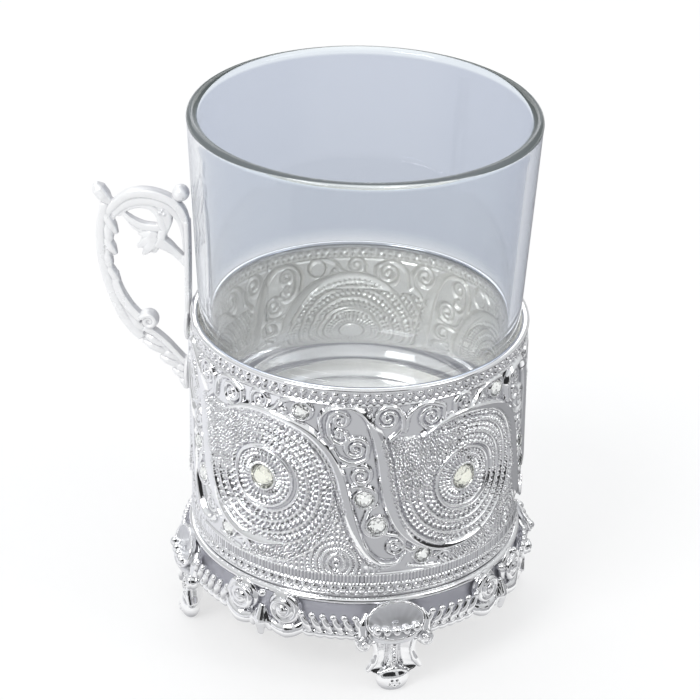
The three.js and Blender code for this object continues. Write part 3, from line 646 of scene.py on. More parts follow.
MEDALLION_DEGREES = [node_place(f"medallion_stone_{i + 1}")[0] for i in range(REPEATS)]


def stone_on_plan(kind):
    """Plan place of a stone in the first repeat."""
    degrees, height = node_place(f"{kind}_1")
    turn = (degrees - MEDALLION_DEGREES[0] + 180) % 360 - 180
    return math.radians(turn) * BAND_RADIUS, height - MEDALLION_HEIGHT


STONE_RADII = {"medallion_stone": 2.65, "strip_stone_upper": 1.9, "strip_stone_lower": 1.9,
               "scroll_stone_top": 1.7, "scroll_stone_bottom": 1.7}
STONE_PLAN = {kind: stone_on_plan(kind) for kind in STONE_RADII}
print({kind: (round(u, 1), round(v, 1)) for kind, (u, v) in STONE_PLAN.items()})

# %% [markdown]
# The ornament has two thick smooth ribs to a repeat. They bound an S-shaped strip and run on
# as the edges of the medallions. Between them lie scrolls of wire: each is a spiral with a
# tail. All are lines on the plan with a half width, so one ridge function raises them.

# %% Lines of the ornament
LEFT_RIB = [
    (-10.5, 12.4), (-5.1, 15.0), (-0.3, 15.7), (5.1, 15.0), (10.4, 12.9), (14.5, 8.9), (16.9, 3.9),
    (18.2, -1.1), (19.5, -6.1), (21.2, -11.4), (23.6, -15.7), (26.6, -17.9), (29.7, -17.6), (31.5, -15.4),
]
RIGHT_RIB = [
    (13.2, 12.9), (12.7, 16.8), (14.4, 19.4), (17.2, 20.3), (20.2, 20.0), (22.9, 17.6), (24.9, 13.2),
    (26.3, 7.5), (27.3, 1.1), (28.6, -4.6), (31.0, -9.6), (34.7, -13.2), (39.4, -15.4), (45.2, -15.7),
    (50.2, -14.6),
]
LOWER_ARC = [
    (16.9, -6.8), (14.5, -11.4), (10.4, -16.0), (6.4, -18.6), (1.7, -19.8), (-3.7, -20.1), (-8.4, -19.8),
    (-12.5, -18.9),
]
LEFT_WIDTHS = [0.5, 1.1, 1.4, 1.6, 1.7, 1.7, 1.7, 1.6, 1.6, 1.5, 1.4, 1.3, 1.1, 0.5]
RIGHT_WIDTHS = [0.5, 0.6, 0.7, 0.9, 1.3, 1.6, 1.8, 1.8, 1.8, 1.7, 1.6, 1.4, 1.2, 0.9, 0.4]
RIB_HEIGHT = 1.25
CREST_ASIDE = 0.45
WIRE_HALF = 0.58
WIRE_HEIGHT = 0.85


def spiral(centre, outer, turns, start, way, inner=0.45):
    """Points of a spiral from its outer end inwards, angles in degrees, way is 1 or -1."""
    t = np.linspace(0, 1, max(int(turns * 28), 12))
    radius = outer + (inner - outer) * t
    angle = math.radians(start) + way * 2 * math.pi * turns * t
    return np.column_stack((centre[0] + radius * np.cos(angle), centre[1] + radius * np.sin(angle)))


def scroll(tail, centre, outer, turns, start, way):
    """A spiral with a tail that runs into its outer end."""
    curl = spiral(centre, outer, turns, start, way)
    return smooth_path(np.concatenate((np.asarray(tail, float).reshape(-1, 2), curl[::3])), 6)


top_stone = STONE_PLAN["scroll_stone_top"]
bottom_stone = STONE_PLAN["scroll_stone_bottom"]
upper_stone = STONE_PLAN["strip_stone_upper"]
lower_stone = STONE_PLAN["strip_stone_lower"]

SCROLLS = [
    # Under the top border, from the strip before to this strip's head
    scroll([(-17.4, 12.4), (-15.0, 15.0), (-15.0, 18.0)], (-18.1, 17.5), 3.0, 1.9, 10, 1),
    scroll([(-14.4, 14.2), (-13.4, 18.2), (-9.8, 20.1), (-6.2, 18.8)], (-8.7, 16.9), 3.1, 2.0, 15, -1),
    scroll([(-5.2, 14.9), (-3.2, 16.4), (-3.0, 18.2)], (-0.8, 18.3), 2.2, 1.6, 170, -1),
    scroll([(-4.6, 15.6), (0.4, 16.2), (2.8, 17.4), (4.2, 19.2), (6.4, 20.3)],
           top_stone, 2.9, 1.1, 120, -1),
    scroll([(3.4, 15.8), (5.4, 16.0)], (4.4, 16.9), 0.8, 1.0, -90, 1),
    # In the strip, from its head down
    scroll([(18.2, 13.9), (18.7, 12.4), (17.1, 11.4), (15.2, 12.6), (14.5, 15.3), (15.0, 17.7)],
           (17.0, 17.1), 2.0, 1.6, 150, -1),
    spiral((16.7, 14.1), 1.0, 1.0, 250, 1, 0.3),
    scroll([(15.6, 10.2), (17.0, 8.0), (19.8, 6.9), (22.6, 8.0)], (20.4, 10.4), 2.8, 1.9, -30, 1),
    scroll([(17.8, 6.0), (20.0, 6.6)], (21.6, 4.0), 2.5, 1.8, 110, -1),
    scroll([(20.0, 1.2), (22.0, 1.2)], upper_stone, 2.9, 0.95, 60, -1),
    scroll([(25.2, -3.2), (23.6, -4.2)], lower_stone, 3.3, 1.35, 140, 1),
    scroll([(27.4, -10.4), (29.6, -11.0)], (29.3, -13.5), 2.2, 1.7, 60, -1),
    # Above the bottom border
    scroll([(-15.4, -13.0), (-12.6, -14.8)], bottom_stone, 2.8, 1.2, 150, -1),
    scroll([(-6.6, -17.6), (-5.0, -16.8)], (-4.2, -18.2), 1.4, 1.3, 90, -1),
]
print("scrolls:", len(SCROLLS))

# %% [markdown]
# The height is a maximum of simple shapes, and NumPy works on the whole plan at once. A ridge is
# a half-round along a line. The thick ribs are different: their crest lies aside, so one flank
# is steep, and a groove along each side lets them stand out sharply.

# %% Ridges on the plan
GROOVE_REACH = 1.22
GROOVE_DEPTH = 0.3
FLANK_POWER = 1.6


def dome(off):
    """Height of a half-round, where off is the squared distance as a share of its reach."""
    return np.sqrt(np.clip(1 - off, 0, None))


def dense(line, step=0.12):
    """The same line with evenly spaced points."""
    line = np.asarray(line, float)
    length = np.concatenate(([0], np.cumsum(np.linalg.norm(np.diff(line, axis=0), axis=1))))
    even = np.linspace(0, length[-1], max(int(length[-1] / step), 2))
    return np.column_stack([np.interp(even, length, line[:, k]) for k in (0, 1)])


def ridge(height, u, v, line, half, top, shift=0.0, crest=0.0):
    """Raises a ridge along a line, its half width given at some stations.

    A crest that lies aside, as a share of the half width, also gets a groove.
    """
    line = np.asarray(line, float) + (shift, 0)
    stations = np.atleast_1d(half)
    widths = np.interp(np.linspace(0, 1, len(line)), np.linspace(0, 1, len(stations)), stations)
    reach = GROOVE_REACH * widths.max()
    near = ((u > line[:, 0].min() - reach) & (u < line[:, 0].max() + reach)
            & (v > line[:, 1].min() - reach) & (v < line[:, 1].max() + reach))
    if not near.any():
        return
    place = np.column_stack((u[near], v[near]))
    best = np.full(len(place), np.inf)
    nearest = np.zeros(len(place), int)
    for n, (point, width) in enumerate(zip(line, widths)):
        off = np.sum((place - point) ** 2, axis=1) / width**2
        nearest[off < best] = n
        best = np.minimum(best, off)
    if crest == 0:
        raised = top * dome(best)
    else:
        ahead = np.gradient(line, axis=0)[nearest]
        apart = place - line[nearest]
        left = np.sign(ahead[:, 0] * apart[:, 1] - ahead[:, 1] * apart[:, 0])
        across = left * np.sqrt(best)
        slope = np.where((across - crest) * crest > 0, (across - crest) / (np.sign(crest) - crest),
                         (crest - across) / (crest + np.sign(crest)))
        raised = top * np.clip(1 - np.abs(slope) ** FLANK_POWER, 0, None)
        raised[best > 1] = 0
        groove = (best > 1) & (best < GROOVE_REACH**2)
        height[near] = np.where(groove, np.minimum(height[near], -GROOVE_DEPTH), height[near])
        raised[groove] = -GROOVE_DEPTH
    height[near] = np.maximum(height[near], raised)


LEFT_LINE = dense(smooth_path(LEFT_RIB))
RIGHT_LINE = dense(smooth_path(RIGHT_RIB))
ARC_LINE = dense(smooth_path(LOWER_ARC))
print("points on the ribs:", len(LEFT_LINE), len(RIGHT_LINE), "and on the arc:", len(ARC_LINE))

# %% [markdown]
# The ribs and the lower arc bound fields, and each field has its own fine filling. A field is a
# polygon along those lines. The strip, the ground under the top border and the foot of the next
# strip stay smooth, because the scrolls of wire stand on them.

# %% Fields between the lines
SHIFTS = (-REPEAT, 0.0, REPEAT)
ROLL_HEIGHT = 1.2
FIELD_BOTTOM = SLEEVE_BOTTOM + 5.4 - MEDALLION_HEIGHT
FIELD_TOP = SLEEVE_TOP - 4.0 - MEDALLION_HEIGHT
PANEL_BOTTOM = SLEEVE_BOTTOM - MEDALLION_HEIGHT
PANEL_TOP = SLEEVE_TOP - ROLL_HEIGHT - MEDALLION_HEIGHT

STRIP_FIELD = np.concatenate((LEFT_LINE[LEFT_LINE[:, 1] < 13.0], RIGHT_LINE[::-1]))
TOP_FIELD = np.concatenate((
    [(-21.8, FIELD_TOP), (-20.0, 12.4), (-14.0, 12.6)],
    LEFT_LINE[LEFT_LINE[:, 0] < 13.0],
    RIGHT_LINE[: len(RIGHT_LINE) // 4],
    [(17.2, FIELD_TOP)],
))
FOOT_FIELD = np.concatenate((
    [(-17.0, -11.5)],
    RIGHT_LINE[RIGHT_LINE[:, 0] > 31.0] - (REPEAT, 0),
    [(2.0, -16.5), (-3.0, -18.0), (-7.0, FIELD_BOTTOM), (-19.0, FIELD_BOTTOM)],
))
FAN_FIELD = np.concatenate((
    ARC_LINE,
    [(-12.5, FIELD_BOTTOM), (27.0, FIELD_BOTTOM)],
    LEFT_LINE[LEFT_LINE[:, 1] < -5.0][::-1],
))


def inside(u, v, corners):
    """Which plan points lie in a polygon."""
    hit = np.zeros(u.shape, bool)
    for (x1, y1), (x2, y2) in zip(corners, np.roll(corners, -1, axis=0)):
        if y1 == y2:
            continue
        crosses = (y1 > v) != (y2 > v)
        hit ^= crosses & (u < (x2 - x1) * (v - y1) / (y2 - y1) + x1)
    return hit


def in_field(u, v, corners):
    """Which plan points lie in a field of this repeat or of its two neighbours."""
    hit = np.zeros(u.shape, bool)
    for shift in SHIFTS:
        hit |= inside(u - shift, v, corners)
    return hit


print(f"field from {FIELD_BOTTOM:.1f} to {FIELD_TOP:.1f} mm from the medallions' middle")

# %% [markdown]
# A medallion is filled with rings of small hooked grains between wires. To its left and below,
# the rings give way to fine sand, which two crossing waves that wander make without any
# randomness. Its middle is a disc of spokes and grains round the stone, inside two wires that
# lie a little aside from each other.

# %% Medallions
MEDALLION_WIRES = (10.4, 13.1, 15.8, 18.5, 21.2, 23.9)
ROW_HEIGHT = 0.75
ROW_WIRE_HALF = 0.34
HOOK_PITCH = 1.3
HOOK_SIZE = 0.66
SPOKES = 34
SPOKE_MIDDLE = 3.85
SPOKE_REACH = 0.85
DISC_GRAINS = ((5.1, 0.45), (6.0, 0.5))
DISC_ASIDE = (0.7, -0.1)
DISC_EDGE = 8.0
SAND_DEGREES = 145
SAND_TURN = 0.95
SAND_FADE = 0.35


def along_circle(angle, ring, pitch):
    """Distance along a circle to the nearest grain of a row."""
    count = max(round(2 * math.pi * ring / pitch), 3)
    turn = angle * count / (2 * math.pi)
    return (turn - np.round(turn)) * 2 * math.pi * ring / count


def beads(radius, angle, ring, pitch, size, top):
    """Domes on a circle round the medallion's middle."""
    along = along_circle(angle, ring, pitch)
    return top * dome(((radius - ring) ** 2 + along**2) / size**2)


def hooks(radius, angle, ring):
    """Small crescents on a circle: domes with a bite out of one side."""
    along = along_circle(angle, ring, HOOK_PITCH)
    away = radius - ring
    bite_off = (along - 0.35 * HOOK_SIZE) ** 2 + (away - 0.4 * HOOK_SIZE) ** 2
    whole = dome((along**2 + away**2) / HOOK_SIZE**2)
    bite = dome(bite_off / (0.7 * HOOK_SIZE) ** 2)
    return ROW_HEIGHT * np.clip(whole - 0.9 * bite, 0, None)


def circle(radius, ring, half, top):
    """A half-round wire on a circle."""
    return top * dome(((radius - ring) / half) ** 2)


def fine_sand(u, v):
    """Height of the sand, from two crossing waves that wander."""
    sand = (np.sin(7.4 * u + 1.4 * np.sin(2.1 * v) + 0.9 * np.sin(5.3 * v + 1.1))
            * np.sin(7.1 * v + 1.7 * np.sin(1.8 * u + 0.6) + 0.9 * np.sin(4.7 * u + 2.0)))
    return 0.1 + 0.85 * np.clip(sand, 0, None)


def sandy_part(v, radius, angle):
    """How far sand takes the place of the rows: below, and beside a line up to the left."""
    below = np.clip((radius - MEDALLION_WIRES[2] - 0.3) / 0.8, 0, 1) * np.clip((2 - v) / 3, 0, 1)
    turn = np.abs((angle - math.radians(SAND_DEGREES) + math.pi) % (2 * math.pi) - math.pi)
    beside = np.clip((SAND_TURN - turn) / SAND_FADE, 0, 1) * np.clip((radius - 8.4) / 0.5, 0, 1)
    return np.maximum(below, beside)


def medallion(u, v, sand_share):
    """Rows of hooked grains between wires, with sand over a share of them, round the disc."""
    radius = np.hypot(u, v)
    angle = np.arctan2(v, u)
    aside = np.hypot(u - DISC_ASIDE[0], v - DISC_ASIDE[1])
    rows = np.zeros(u.shape)
    for n, wire in enumerate(MEDALLION_WIRES):
        for step in (0, 1):
            rows = np.maximum(rows, hooks(radius, angle + 0.3 * n + 0.05 * step, wire - 2.0 + step))
        rows = np.maximum(rows, circle(radius, wire, ROW_WIRE_HALF, ROW_HEIGHT))
    sandy = sand_share * sandy_part(v, radius, angle)
    rows = rows * (1 - sandy) + fine_sand(u, v) * sandy
    rows[aside < DISC_EDGE] = 0
    spokes = np.clip(np.cos(SPOKES * angle), 0, None)
    petals = np.sqrt(spokes * np.clip(1 - ((radius - SPOKE_MIDDLE) / SPOKE_REACH) ** 2, 0, None))
    rows = np.maximum(rows, 0.55 * petals)
    for ring, size in DISC_GRAINS:
        rows = np.maximum(rows, beads(radius, angle, ring, 2 * math.pi * ring / SPOKES, size, 0.6))
    rows = np.maximum(rows, circle(radius, 6.9, 0.38, ROW_HEIGHT))
    return np.maximum(rows, circle(aside, 7.75, 0.36, 0.7))


print("wires round a medallion:", len(MEDALLION_WIRES), "spokes:", SPOKES)

# %% [markdown]
# Between the lower arc and the strip opens a peacock's fan: arches of wire with fine ribs that
# spread from its middle. The borders are rows of grains and a wire at the top, and ribs, a wire
# and grains at the bottom.

# %% Fans and borders
FAN_MIDDLE = (16.9, -17.8)
FAN_PITCH = 1.25
FAN_RIBS = 42
BORDER_RIBS = 58
LOW_GRAINS = 22
RIBBED_HEIGHT = 2.4
BORDER_WIRES = ((FIELD_TOP, 0.3, 0.45), (FIELD_BOTTOM, 0.28, 0.4), (FIELD_BOTTOM - 2.6, 0.3, 0.5))


def fan(u, v):
    """Arches round the fan's middle with ribs across them."""
    spread = np.hypot(u - FAN_MIDDLE[0], (v - FAN_MIDDLE[1]) * 0.9)
    lean = np.arctan2(v - FAN_MIDDLE[1], u - FAN_MIDDLE[0])
    arches = 0.42 * dome(((spread % FAN_PITCH - 0.62) / 0.3) ** 2)
    ribs = 0.34 * np.clip(np.cos(lean * FAN_RIBS), 0, None) * (spread > 1.4)
    return np.maximum(arches, ribs)


def border_beads(u, v, level, count, size, top):
    """A row of domes along the band."""
    turn = u / REPEAT * count
    along = (turn - np.round(turn)) * REPEAT / count
    return top * dome((along**2 + (v - level) ** 2) / size**2)


def with_borders(u, v, height):
    """The height with the two borders laid over its edges."""
    top_row = np.maximum(border_beads(u, v, FIELD_TOP + 2.05, 20, 0.78, 0.6),
                         border_beads(u, v, FIELD_TOP + 0.85, 30, 0.55, 0.5))
    ribbing = 0.4 * np.clip(np.cos(u / REPEAT * 2 * math.pi * BORDER_RIBS), 0, None)
    half_step = REPEAT / (2 * LOW_GRAINS)
    low_row = np.maximum(border_beads(u, v, FIELD_BOTTOM - 3.8, LOW_GRAINS, 0.85, 0.6),
                         border_beads(u + half_step, v, FIELD_BOTTOM - 4.7, LOW_GRAINS, 0.5, 0.4))
    height = np.where(v > FIELD_TOP, top_row, height)
    height = np.where(v < FIELD_BOTTOM, low_row, height)
    height = np.where((v < FIELD_BOTTOM) & (v > FIELD_BOTTOM - RIBBED_HEIGHT), ribbing, height)
    for level, half, top in BORDER_WIRES:
        height = np.maximum(height, top * dome(((v - level) / half) ** 2))
    return height


print("grains in the lower border of a repeat:", LOW_GRAINS)

# %% [markdown]
# Now the parts come together: the fillings first, then the ribs, the scrolls and the bezels of
# the stones over them, and the borders last. Lines that leave one end of the repeat come in at
# the other, so each is drawn in this repeat and in both of its neighbours.

# %% Height of one repeat
GROUND = 0.18
ARC_HALF = 0.42
ARC_HEIGHT = 0.6
SEAT_MARGIN = 0.15
SEAT_DEPTH = 0.15
BEZEL_AWAY = 0.36
BEZEL_HALF = 0.28
BEZEL_HEIGHT = 0.75


def relief(u, v, sand_share):
    """Height of the ornament over the sheet, in millimetres.

    The sand share says how far fine sand covers the medallions' rows.
    """
    smooth = in_field(u, v, STRIP_FIELD) | in_field(u, v, TOP_FIELD) | in_field(u, v, FOOT_FIELD)
    filled = (v > FIELD_BOTTOM) & (v < FIELD_TOP) & ~smooth
    height = np.where(filled, GROUND + medallion(u, v, sand_share), 0.0)
    height = np.where(filled & in_field(u, v, FAN_FIELD), fan(u, v), height)
    for shift in SHIFTS:
        ridge(height, u, v, LEFT_LINE, LEFT_WIDTHS, RIB_HEIGHT, shift, CREST_ASIDE)
        ridge(height, u, v, RIGHT_LINE, RIGHT_WIDTHS, RIB_HEIGHT, shift, -CREST_ASIDE)
        ridge(height, u, v, ARC_LINE, ARC_HALF, ARC_HEIGHT, shift)
        for line in SCROLLS:
            ridge(height, u, v, dense(line), WIRE_HALF, WIRE_HEIGHT, shift)
        for kind, (x, y) in STONE_PLAN.items():
            reach = np.hypot(u - x - shift, v - y)
            size = STONE_RADII[kind]
            height[reach < size + SEAT_MARGIN] = -SEAT_DEPTH
            bezel = circle(reach, size + BEZEL_AWAY, BEZEL_HALF, BEZEL_HEIGHT)
            height[:] = np.maximum(height, bezel)
    return with_borders(u, v, height)


# %% [markdown]
# Each repeat becomes one panel, a fine grid bent round the axis. Its normals are worked out
# from the plan, which repeats, so no seam shows where two panels meet. The back of the sheet
# has panels of its own, dented outwards by most of the same height and without the sand.

# %% Stamped sleeve
FRONT_STEP = 0.18
BACK_STEP = 0.24
BACK_SHARE = 0.85


def plan_grid(step):
    """The plan of one repeat as a grid, about a step apart."""
    columns = round(REPEAT / step)
    rows = round((PANEL_TOP - PANEL_BOTTOM) / step)
    along = np.linspace(-REPEAT / 2, REPEAT / 2, columns + 1)
    up = np.linspace(PANEL_BOTTOM, PANEL_TOP, rows + 1)
    return np.meshgrid(along, up)


def on_band(u, v, radius, degrees):
    """Plan points on the band at a radius."""
    angle = math.radians(degrees) + u / BAND_RADIUS
    return np.column_stack(((radius * np.cos(angle)).ravel(), (radius * np.sin(angle)).ravel(),
                            (v + MEDALLION_HEIGHT).ravel()))


def sheet(name, plan, height, radius, degrees, material, replaced, inward):
    """One repeat of the sheet, with normals from the plan; inward turns its face to the glass."""
    u, v = plan
    repeated = np.concatenate((height[:, -3:-1], height, height[:, 1:3]), axis=1)
    along = np.gradient(repeated, u[0, 1] - u[0, 0], axis=1)[:, 2:-2]
    upward = np.gradient(height, v[1, 0] - v[0, 0], axis=0)
    angle = math.radians(degrees) + u / BAND_RADIUS
    cosine, sine = np.cos(angle), np.sin(angle)
    normal = np.stack((cosine + along * sine, sine - along * cosine, -upward), axis=-1)
    normal /= np.linalg.norm(normal, axis=-1)[..., None]
    faces = grid_faces(*u.shape)
    if inward:
        faces = [tuple(reversed(face)) for face in faces]
        normal = -normal
    shape = (on_band(u, v, radius + height, degrees), faces)
    panel = add_piece(name, shape, material, replaced)
    panel.data.normals_split_custom_set_from_vertices(normal.reshape(-1, 3).tolist())


front_plan = plan_grid(FRONT_STEP)
back_plan = plan_grid(BACK_STEP)
front = relief(*front_plan, sand_share=1.0)
back = np.clip(relief(*back_plan, sand_share=0.0), 0, None) * BACK_SHARE
for i, degrees in enumerate(MEDALLION_DEGREES):
    sheet(f"sleeve_panel_{i + 1}", front_plan, front, BAND_RADIUS, degrees, STAMPED, ["sleeve"], False)
    sheet(f"sleeve_lining_{i + 1}", back_plan, back, SLEEVE_INNER, degrees, LINING, [], True)

# %% [markdown]
# The sheet's upper edge is rolled outwards, and its lower edge is turned up a little. Both are
# plain, so they are turned on the lathe.

# %% Edges of the sleeve
BAND_SIDES = 200
ROLL_PROUD = 0.8
ROLL_LAP = 0.2
EDGE_BREAK = 0.25
LOWER_EDGE_PROUD = 0.3
LOWER_EDGE_HEIGHT = 0.5


def half_round(middle, height, proud, steps):
    """A roll that stands out from the band, from below to above."""
    angles = np.radians(np.linspace(-90, 90, steps + 1))
    return [(BAND_RADIUS + proud * math.cos(a), middle + height / 2 * math.sin(a)) for a in angles]


roll_bottom = SLEEVE_TOP - ROLL_HEIGHT - ROLL_LAP
roll_profile = [
    (SLEEVE_INNER, roll_bottom),
    (BAND_RADIUS, roll_bottom),
    *half_round(SLEEVE_TOP - ROLL_HEIGHT / 2, ROLL_HEIGHT, ROLL_PROUD, 10),
    (SLEEVE_INNER + EDGE_BREAK, SLEEVE_TOP),
    (SLEEVE_INNER, SLEEVE_TOP - EDGE_BREAK),
]
edge_profile = [
    (SLEEVE_INNER, SLEEVE_BOTTOM),
    (BAND_RADIUS, SLEEVE_BOTTOM),
    (BAND_RADIUS + LOWER_EDGE_PROUD, SLEEVE_BOTTOM + LOWER_EDGE_HEIGHT / 2),
    (BAND_RADIUS, SLEEVE_BOTTOM + LOWER_EDGE_HEIGHT),
    (SLEEVE_INNER, SLEEVE_BOTTOM + LOWER_EDGE_HEIGHT),
]
add_piece("sleeve_edge", lathe(roll_profile, BAND_SIDES), STAMPED)
add_piece("sleeve_lower_edge", lathe(edge_profile, BAND_SIDES), STAMPED)

# %% [markdown]
# Each stone is a round brilliant, held in a thin bezel that the relief already has. A cut
# stone is a few rings of corners, each ring turned by half a step, with flat facets between
# them. It is shaded flat, because the facets are what makes it sparkle.

# %% Clear stones
STONE_SIDES = 8
STONE_CROWN = 1.25
STONE_SEAT = -0.1
# Each ring of corners: its share of the radius, its level, and its turn in steps
STONE_RINGS = (
    (0.55, STONE_CROWN, 0.0),
    (0.8, STONE_CROWN * 0.66, 0.5),
    (1.0, 0.3, 0.0),
    (1.0, 0.12, 0.0),
    (0.6, STONE_SEAT, 0.5),
)


def brilliant(radius):
    """A cut stone on a flat plan: x along the band, y up, z out."""
    points = []
    for share, level, turn in STONE_RINGS:
        for k in range(STONE_SIDES):
            a = 2 * math.pi * (k + turn) / STONE_SIDES
            points.append((radius * share * math.cos(a), radius * share * math.sin(a), level))
    faces = [tuple(range(STONE_SIDES))]
    for n in range(len(STONE_RINGS) - 1):
        a, b = n * STONE_SIDES, (n + 1) * STONE_SIDES
        step = STONE_RINGS[n + 1][2] - STONE_RINGS[n][2]
        for k in range(STONE_SIDES):
            j = (k + 1) % STONE_SIDES
            if step > 0:
                faces += [(a + k, b + k, a + j), (a + j, b + k, b + j)]
            elif step == 0:
                faces.append((a + k, b + k, b + j, a + j))
            else:
                faces += [(a + k, b + k, b + j), (a + k, b + j, a + j)]
    last = (len(STONE_RINGS) - 1) * STONE_SIDES
    faces.append(tuple(reversed(range(last, last + STONE_SIDES))))
    return np.array(points), faces


for kind, size in STONE_RADII.items():
    finish = STONE if kind == "medallion_stone" else PALE_STONE
    plan, faces = brilliant(size)
    for i in range(REPEATS):
        node = f"{kind}_{i + 1}"
        degrees, height = node_place(node)
        level = plan[:, 1] + height - MEDALLION_HEIGHT
        points = on_band(plan[:, 0], level, BAND_RADIUS + plan[:, 2], degrees)
        add_piece(f"{kind}_cut_{i + 1}", (points, faces), finish, [node], sharp=1)

# %% [markdown]
# The base ring is cast. Its plain parts are turned on the lathe: a collar inside the sleeve, a
# half-round roll under it, and a hollow fascia below, which is darker, bluer and duller than the rest.

# %% Base ring
RING_BOTTOM = 13.0
RING_FLARE = 1.2
RING_ROLL = 1.7
RING_ROLL_PROUD = 1.1
RING_GAP = 0.3
COLLAR_WALL = 1.5
ROLL_TOP = SLEEVE_BOTTOM - RING_GAP
COLLAR_OUTER = SLEEVE_INNER - PLATE_FIT
COLLAR_INNER = COLLAR_OUTER - COLLAR_WALL
ring_roll_middle = ROLL_TOP - RING_ROLL / 2
ring_roll_bottom = ring_roll_middle - RING_ROLL / 2
fascia_line = [
    (BAND_RADIUS + RING_FLARE, RING_BOTTOM + 0.5),
    (BAND_RADIUS + 0.2, RING_BOTTOM + 3.0),
    (BAND_RADIUS - 0.3, RING_BOTTOM + 5.4),
    (BAND_RADIUS, ring_roll_bottom),
]
fascia_back = [
    (COLLAR_INNER, ring_roll_bottom),
    (COLLAR_INNER, RING_BOTTOM + 1.0),
    (COLLAR_OUTER, RING_BOTTOM),
    (BAND_RADIUS + 0.5, RING_BOTTOM),
]
collar_line = [
    (COLLAR_OUTER, ROLL_TOP),
    (COLLAR_OUTER, COLLAR_TOP),
    (COLLAR_INNER, COLLAR_TOP),
    (COLLAR_INNER, ring_roll_bottom),
]
ring_roll = lathe(half_round(ring_roll_middle, RING_ROLL, RING_ROLL_PROUD, 12) + collar_line, BAND_SIDES)
fascia = lathe(fascia_back + [tuple(p) for p in smooth_path(fascia_line, 6)], BAND_SIDES)
add_piece("base_ring_roll", ring_roll, CASTING, ["base_ring"], sharp=50)
add_piece("base_ring_fascia", fascia, FASCIA, sharp=50)

# %% [markdown]
# Between two feet the ring carries an ornament: two spiral volutes with rolled lips under them,
# a leaf drop between them and a palm frond on each side. It is drawn flat, as distances along
# the ring, up from the table and out, cast once, and then wrapped round the axis for each side.

# %% Ornament between the feet
FEET = 4
SKIRT_RADIUS = BAND_RADIUS + 1.5
VOLUTE_EYE = ROLL_TOP - 4.1
VOLUTE_APART = 5.3
CRESCENT_RADIUS = 5.3
FOOT_DEGREES = [node_place(f"foot_{i + 1}")[0] for i in range(FEET)]


def wrap(points, radius):
    """From (along the ring, up, out) to a place round the axis, middle at +X."""
    points = np.asarray(points, float)
    angle = points[:, 0] / radius
    reach = radius + points[:, 2]
    return np.column_stack((reach * np.cos(angle), reach * np.sin(angle), points[:, 1]))


def line3(points, out):
    """A smooth line on the skirt, with its distance out given at some stations."""
    flat = smooth_path(points, 8)
    depth = np.interp(np.linspace(0, 1, len(flat)), np.linspace(0, 1, len(out)), out)
    return np.column_stack((flat, depth))


def volute(side):
    """A rolled scroll seen from its end.

    It is a disc with a coil and an eye, hugged by a fat crescent from below.
    """
    centre = np.array((side * VOLUTE_APART, VOLUTE_EYE))
    coil = spiral(centre, 3.4, 2.0, 75 if side > 0 else 105, -side, 0.6)
    thick = np.interp(np.linspace(0, 1, len(coil)), [0, 0.5, 1], [0.8, 0.66, 0.5])
    turns = np.radians(np.linspace(-150, -18, 16))
    crescent = centre + CRESCENT_RADIUS * np.column_stack((side * np.cos(turns), np.sin(turns)))
    crescent_line = line3(crescent, [-0.6, 0.1, 0.4, 0.1, -0.6])
    return [
        rod(np.column_stack((coil, np.linspace(0.4, 1.1, len(coil)))), thick, sides=12),
        pebble((*centre, -0.6), (4.0, 4.0, 1.2), 28),
        pebble((*centre, 1.1), (0.9, 0.9, 0.8)),
        rod(crescent_line, [0.4, 1.4, 1.8, 1.4, 0.5], flat=0.75, sides=14),
    ]


def leaf_drop():
    """Three leaves with blunt tips that hang between the volutes, under a small bud."""
    middle = line3([(0, 17.4), (0, 13.8), (0, 10.4)], [0.1, 1.1, 0.6])
    parts = [pebble((0, 20.4, 0.3), (1.0, 0.9, 0.9)), rod(middle, [0.8, 1.4, 0.75], flat=0.75, sides=14)]
    for side in (-1, 1):
        leaf_line = [(side * 0.6, 16.4), (side * 1.5, 13.9), (side * 2.3, 12.0)]
        parts.append(rod(line3(leaf_line, [0.0, 0.6, 0.5]), [0.6, 1.15, 0.7], flat=0.7, sides=14))
    return parts


LEAFLETS = 6
LEAFLET_START = 11.4
LEAFLET_PITCH = 2.3


def frond(side):
    """A palm frond between a volute and a foot: slanting leaflets with round heads on a lobed vein."""
    parts = []
    for n in range(LEAFLETS):
        low = LEAFLET_START + LEAFLET_PITCH * n
        body = [(side * low, 13.9), (side * (low - 0.9), 16.0), (side * (low - 1.9), 17.9)]
        parts.append(rod(line3(body, [0.3, 0.8, 0.7]), [0.5, 0.78, 0.85, 0.7], flat=0.9))
        parts.append(pebble((side * (low - 2.0), 18.2, 0.7), (0.85, 0.8, 0.85), 14, 10))
        parts.append(pebble((side * (low - 0.3), 13.5, 0.1), (1.6, 1.15, 0.8), 16, 10))
    vein = line3([(side * 9.0, 14.6), (side * 23.2, 14.6)], [-0.4, -0.4])
    parts.append(rod(vein, [1.7, 1.7], flat=0.35))
    return parts


skirt_parts = volute(-1) + volute(1) + leaf_drop() + frond(-1) + frond(1)
skirt_points, skirt_faces = cast(skirt_parts, voxel=0.19, passes=3)
for i in range(FEET):
    points = turned(wrap(skirt_points, SKIRT_RADIUS), FOOT_DEGREES[i] + 180 / FEET)
    add_piece(f"skirt_scrolls_{i + 1}", (points, skirt_faces), CASTING)

# %% [markdown]
# Each foot is a cast shell on a flared leaf stem with a rounded toe, drawn facing out: across,
# up and out. The shell is a tilted dish with faint flutes, made as a closed sheet from a formula.

# %% Shell of a foot
FOOT_RADIUS = SKIRT_RADIUS + 0.3
SHELL_MIDDLE = ROLL_TOP - 4.5
SHELL_HALF_WIDTH = 6.3
SHELL_HALF_HEIGHT = 4.1
SHELL_HOLLOW = 1.0
SHELL_THICK = 1.2
FLUTES = 26


